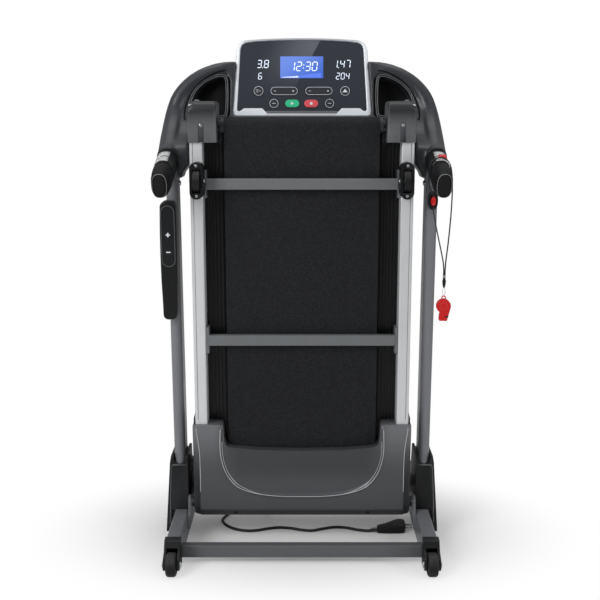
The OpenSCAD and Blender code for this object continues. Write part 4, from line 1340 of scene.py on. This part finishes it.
# %% Points of the pan's face
FINE_COLUMNS = [198, 200, 201.5, 202.5, 203.5, 204.3, 205, 206, 207, 208, 209.5, 211, 213, 215, 217, 219,
                221, 225, 230, 236, 242, 248, 254, 260, 264, 267, 269, 270.5, 272, 275, 278, 280, 282,
                283, 284, 285, 286, 286.8, 287.4, 287.8, 288]
half = [4 * i for i in range(26)] + [102 + 2.5 * i for i in range(38)] + FINE_COLUMNS
columns = sorted({side * x for side in (-1, 1) for x in half})
ROWS = 110
vertices = []
for x in columns:
    top = between(PAN_TOP, abs(x))
    foot = PAN_FOOT + turned_back(PAN_HALF - abs(x), 9)
    for j in range(ROWS + 1):
        z = foot + (top - foot) * (j / ROWS - 0.09 * sin(tau * j / ROWS))
        vertices.append(mm(x, pan_face(x, z, top), z))
faces = [(a + j, a + j + 1, a + ROWS + j + 2, a + ROWS + j + 1)
         for a in range(0, (len(columns) - 1) * (ROWS + 1), ROWS + 1) for j in range(ROWS)]
print("columns of the pan:", len(columns))

# %% [markdown]
# The pan's colour carries painted light: a painted reflection makes its two horns lighter, and
# painted shade darkens the bucket, the lip and the flanges low down. All of it is worked out from the
# place on the pan.

# %% Painted light and shade of the pan
def set_painted_light_and_shade(name, colour, *tints):
    """Give a finish's shared tone group a colour that changes from place to place: painted light and
    shade.
    """
    tree = MATERIALS[name].node_tree
    place = axes(tree)
    across, height = calc(tree, "ABSOLUTE", place["X"]), place["Z"]
    plain = placed(tree, "RGB").outputs[0]
    plain.default_value = linear(*colour)
    tone = plain
    for sideways, upwards, tint in tints:
        amount = spread(tree, height, *upwards)
        if sideways:
            amount = product(tree, spread(tree, across, *sideways), amount)
        tone = mixed(tree, amount, tone, linear(*tint))
    groups = [node for node in tree.nodes if node.bl_idname == "ShaderNodeGroup"]
    group = next(node for node in groups if node.node_tree == TONE)
    tree.links.new(tone, group.inputs["Colour"])


# A painted reflection lightens the horns; painted shade darkens the bucket, the flanges low down and the
# lip
set_painted_light_and_shade("pan_plastic", (80, 81, 84), ((0.19, 0.235), (0.2, 0.33), (112, 113, 116)),
         ((0.222, 0.16), (0.16, 0.22), (67, 68, 71)), ((0.2672, 0.2712), (0.32, 0.15), (34, 35, 37)),
         (None, (0.1, 0.096), (50, 51, 53)))
# Painted shade on the surround's top rounding, darker above 1.316 m
set_painted_light_and_shade("bezel_silver", (232, 237, 242), (None, (1.316, 1.326), (172, 176, 181)))
print("finishes with tones of their own: 2")

# %% Sides and wall of the pan
# Round the edge of the sheet: along its foot, up one side, back along its top and down
last = (len(columns) - 1) * (ROWS + 1)
rim = [*range(0, last, ROWS + 1), *range(last, last + ROWS),
       *range(last + ROWS, ROWS, -ROWS - 1), *range(ROWS, 0, -1)]
start = len(vertices)
vertices += [Vector((vertices[i].x, PAN_BACK * MM, vertices[i].z)) for i in rim]
faces += [(rim[i - 1], rim[i], start + i, start + (i - 1) % len(rim)) for i in range(len(rim))]
pan = mesh_piece("belly_pan_cover", vertices, faces)
if sum(face.normal.y * face.area for face in pan.data.polygons) > 0:
    pan.data.flip_normals()
modify(pan, "SOLIDIFY", thickness=2.2 * MM, offset=-1.0)
declared(shaded(applied(pan)), "pan_plastic", "deck", replaces="belly_pan")
print("pan faces:", len(pan.data.polygons))


# %% [markdown]
# Fine bright lines follow the pan's crease and its two flanges: painted highlights. Two small round
# holes near its foot are dark discs of painted shade. A bump could draw them, but thin tubes and
# dark discs laid on the face are real shapes, which stay sharp from every side.

# %% Painted highlight lines and shaded holes of the pan
def on_pan(x, z, out, top=None):
    """A place in front of the pan's face, at a distance in millimetres."""
    return mm(x, pan_face(x, z, top or between(PAN_TOP, abs(x))) - out, z)


# Painted highlight lines down the two flanges
def flange_highlight(side):
    return tube([on_pan(side * x, z, 0.2, 335) for x, z in catmull(FLANGE, 4)], 0.7)


def inner_highlight(side):
    """A second painted highlight line inside the bucket's crease, which leaves it near the middle of the
    pan.
    """
    line = []
    for x, z in bucket_line:
        reach = 5.0 * eased((side * x - 96) / 70)
        if reach > 0.05 and z < 300:
            away = Vector((-side, 0.0 if z > 240 else 0.7)).normalized()
            line.append(on_pan(x + away.x * reach, z + away.y * reach, 0.1))
    return tube(line, 0.55)


crease_highlight = tube([on_pan(x, z, 0.1) for x, z in bucket_line
                    if z < between(PAN_TOP, abs(x)) - 6], 0.75)
moulded("belly_pan_seam", [crease_highlight] + both(flange_highlight) + both(inner_highlight), "rail_silver", "deck")
# Dark discs of painted shade for the two holes
holes = both(lambda side: slab(arc(side * 176, 88, 4, 0, 350, 20),
                               lambda x, z, out: on_pan(x, z, out, 262), -0.4, 0.15))
moulded("belly_pan_holes", holes, "tray_black", "deck")
print("pan faces:", len(pan.data.polygons))

# %% [markdown]
# ## End caps and rails
# Each cap is a box that closes a rail. Its section across the rail has a large round over the
# top, and the sections shrink towards both ends, which rounds the corners. A shallow slot runs
# down from its screw, drawn as a thin darker slab: painted shade for the recess. A fine dark line
# of painted shade runs down each rail.

# %% End caps
CAP_FRONT, CAP_BACK, CAP_FOOT, CAP_TOP, CAP_ROUND = -103.0, -15.0, 1065.0, 1166.0, 22.0
CAP_INNER, CAP_OUTER = 211.0, 282.8


def cap_section(x, from_end, corner):
    """One section of a cap, drawn in where it is nearer its end than the corner's radius."""
    down = turned_back(from_end, corner)
    front = CAP_FRONT + turned_back(from_end, 4)
    top = CAP_TOP - down
    shape = [(CAP_BACK, CAP_FOOT), (front, CAP_FOOT)]
    shape += arc(front + CAP_ROUND, top - CAP_ROUND, CAP_ROUND, 180, 90, 12) + [(CAP_BACK, top)]
    return [mm(x, y, z) for y, z in shape]


def cap_skin(side):
    steps = [0, 0.3, 0.9, 1.8, 3, 4, 6, 9, 13, 18]
    rings = [cap_section(side * (CAP_INNER + d), d, 10) for d in steps]
    rings += [cap_section(side * (CAP_OUTER - d), d, 18) for d in reversed(steps)]
    return loft(rings, True)


end_caps = mesh_piece("end_cap_covers", *together(both(cap_skin)))
modify(end_caps, "WEIGHTED_NORMAL", keep_sharp=False)
declared(applied(shaded(end_caps)), "cap_plastic", "deck", replaces="end_caps")
print("cap faces:", len(end_caps.data.polygons))

# %% Slots of the caps and lines of the rails
RAIL_FACE = -97.0


def cap_slot(side, x=249.7, foot=1065.5, half=7):
    outline = [(half, foot)] + arc(0, 1107, half, 0, 180, 12) + [(-half, foot)]
    return slab([(side * x + u, z) for u, z in outline], leaning(0, CAP_FRONT, 0), -0.6, 0.1)


def bar_on_side(side, x_in, x_out, low, high):
    """An upright oblong on one side, between two distances from the middle."""
    return [(side * x_in, low), (side * x_out, low), (side * x_out, high), (side * x_in, high)]


# The slot is a thin slab a little darker than the cap: painted shade for a recess
moulded("end_cap_slots", both(cap_slot), "shell_plastic", "deck")
# A dark line down each rail: painted shade
lines = both(lambda side: slab(bar_on_side(side, 271.2, 272.4, 346, 1064),
                               leaning(0, RAIL_FACE, 0), -0.5, 0.12))
moulded("rail_lines", lines, "motor_steel", "deck")
print("rail lines:", len(lines))

# %% [markdown]
# ## Small covers
# A dark plate closes the end of each foot rail under the roller, a fine lighter line, a painted
# highlight on the bevel, runs round the face of each upright cover, and the safety key is an oval button
# in an oval socket.

# %% Rail end plates, cover lines and the safety key
COVER_FACE = -58.1
COVER_LINE = [(-358.5, 40), (-356.5, 110), (-351.5, 200), (-348, 207), (-312, 207)]
plates = both(lambda side: slab(bar_on_side(side, 196, 214, 1058, 1092), leaning(0, 0, 0), 60, 44))
moulded("rail_end_plates", plates, "black_plastic", "deck")
# A painted highlight along the bevel of each upright cover
lines = [tube([mm(side * x, COVER_FACE, z) for x, z in COVER_LINE], 0.9) for side in (1, -1)]
moulded("cover_lines", lines, "cap_plastic")

KEY_UP = 842.0
SOCKET = [(20, 25, 46), (46.5, 25, 46), (48.8, 24, 45), (50, 21.5, 42.5), (50.2, 17, 30),
          (49.4, 15.4, 28), (44, 15, 27.4)]
BUTTON = [(40.5, 12.4, 24), (53, 12.4, 24), (55, 11.2, 22.6), (56.2, 8.4, 19), (56.6, 3, 9)]


def on_key(a, b, out):
    return leaning(330.0, UPRIGHT_Y, TUBE_TOP, -LEAN)(a, KEY_UP + b, out)


moulded("safety_key_socket", [ovals(on_key, SOCKET, 2.4, 36)], "black_plastic", replaces="key_holder")
moulded("safety_key_button", [ovals(on_key, BUTTON, 2.3, 36)], "signal_red", "safety_key",
        replaces="safety_key")
print("rings of the key:", len(SOCKET) + len(BUTTON))

# %% [markdown]
# ## Cords finished
# The cords are tubes of their real thickness. They get their finish, and the CAD parts that stood
# for them are hidden. The mains cord runs between the deck, which carries its gland, and the frame,
# where the coil lies. The lanyard's two strands end in the red key, which can be pulled out.

plug_outline = [(207, -41), (230, -43), (262, -43), (280, -41), (285, -36), (286.5, -14), (286.5, 4),
                (284, 10), (278, 13), (270, 13.5), (262, 11), (246, -2), (231, -14), (207, -27)]
plug = moulded("mains_plug", [slab(plug_outline, mm, 1.0, 21.5)], "cord_black", replaces="power_plug",
               edge=4.5, segments=4)
pins = moulded("mains_plug_pins", [tube([mm(x, y, 11) for x in (283, 300, 303.6, 305)], 2.35, 12, UPWARD)
                                   for y in (-24, -5)], "zinc")
relief = moulded("mains_plug_relief", [tube([mm(x + 3.2 * i, -34.2, 9.6) for x in (190, 191.8)],
                                            5.1 + 0.28 * i, 16, UPWARD) for i in range(6)], "cord_black")
for piece in (mains_cord, lanyard_short, lanyard_long):
    paint(piece, "cord_black")
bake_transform(mains_cord)
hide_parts("power_cord", "cord_coil")
for strand in (lanyard_short, lanyard_long):
    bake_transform(strand)
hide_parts("lanyard")
print("ribs of the relief: 6")

# %% [markdown]
# The strands meet in a small black toggle. A thin link below it carries the whistle, which is a
# flat round chamber with a mouthpiece, and swings on its own joint.

# %% Toggle, ferrule and link
TOGGLE_X, TOGGLE_Y = 352.1, -165.0


def hung(profile, steps=24):
    """A revolved shape on the toggle's axis, from (radius, height) pairs."""
    points, sides = revolved(profile, steps)
    return [point + mm(TOGGLE_X, TOGGLE_Y, 0) for point in points], sides


def ring_line(x, y, z, half_width, half_height, count):
    """Points of an upright oval loop, square to the user."""
    turns = [tau * i / count for i in range(count)]
    return [mm(x + half_width * sin(turn), y, z + half_height * cos(turn)) for turn in turns]


TOGGLE = [(1.5, 751), (3.0, 750.5), (3.4, 749), (3.4, 746), (2.9, 745), (3.4, 744), (3.4, 734),
          (2.8, 732.5), (4.4, 731.5), (4.7, 729), (3.9, 720), (2.6, 713), (1.4, 711.5)]
FERRULE = [(3.5, 743), (3.75, 742.5), (3.75, 737.5), (3.5, 737)]
toggle = moulded("lanyard_toggle_body", [hung(TOGGLE)], "black_plastic",
                 replaces="lanyard_toggle")
ferrule = moulded("lanyard_ferrule", [hung(FERRULE)], "zinc")
link_line = ring_line(TOGGLE_X, TOGGLE_Y, 701.5, 3.2, 10.5, 20)
moulded("whistle_link", [bead_loop(link_line, 0.8, 10)], "chrome")
print("toggle and ferrule faces:", len(toggle.data.polygons) + len(ferrule.data.polygons))

# %% Whistle
WHISTLE_Z, WHISTLE_R, WHISTLE_HALF = 666.0, 18.0, 8.0
on_whistle = leaning(TOGGLE_X, TOGGLE_Y, WHISTLE_Z)
# The outline leaves the round chamber on its right and comes back to it under its left side
chamber = arc(0, 0, WHISTLE_R, -15, 243, 30) + [(-10.4, -22), (-11, -37), (9, -37.6), (13, -22)]
moulded("whistle_body", [slab(chamber, on_whistle, -WHISTLE_HALF, WHISTLE_HALF)], "signal_red",
        "whistle", replaces="whistle", edge=2.2, segments=4)
hub, middle = (arc(0, 0, radius, 0, 350, 35) for radius in (10.5, 8.8))
moulded("whistle_cheeks", [ring_band(hub, middle, 7.8, 8.6, on_whistle)], "signal_red", "whistle")
eyelet_line = [on_whistle(4.4 * cos(tau * i / 16), 20.5 + 4.4 * sin(tau * i / 16), 0)
               for i in range(16)]
moulded("whistle_eyelet", [bead_loop(eyelet_line, 1.5, 10)], "signal_red", "whistle")
# The window is a black slab: painted shade in the whistle's opening
face_piece("whistle_window", [[(2, -24), (12.5, -24), (11.5, -28), (2, -28)]], 7.6, 8.12,
           "black_plastic", body="whistle", place=on_whistle)
print("whistle outline points:", len(chamber))

# %% The lanyard's two strands
print("lanyard strands: 2")

# %% [markdown]
# ## Screws
# Screws are copies of one pan head, set by the node tree on every place where the machine
# shows one, on the body that carries it.

# %% Screws on the frame and on the deck
TO_USER, QUARTER = (radians(90), 0, 0), radians(90)


def screw_at(side, x, y, z, radius, inward=False):
    """A screw that faces the user, or that faces the middle of the machine."""
    turn = (0, -side * QUARTER, 0) if inward else TO_USER
    return mm(side * x, y, z), turn, (radius, radius, radius)


deck_screws = [screw_at(side, *row) for side in (-1, 1) for row in (
    (259.5, -140, 936, 3.7), (259.5, -140, 1010, 3.7), (249.7, -103, 1107, 4.2),
    (241.2, -126, 972, 4.2, True))]
copies("deck_screws", screw, deck_screws, "zinc", "deck")
copies("upright_screws", screw, both(lambda side: screw_at(side, 313.8, -42, 961, 5.5, True)),
       "inner_steel")
for shape in (screw, bar):
    bpy.data.objects.remove(shape)
print("screws:", len(deck_screws) + 2)
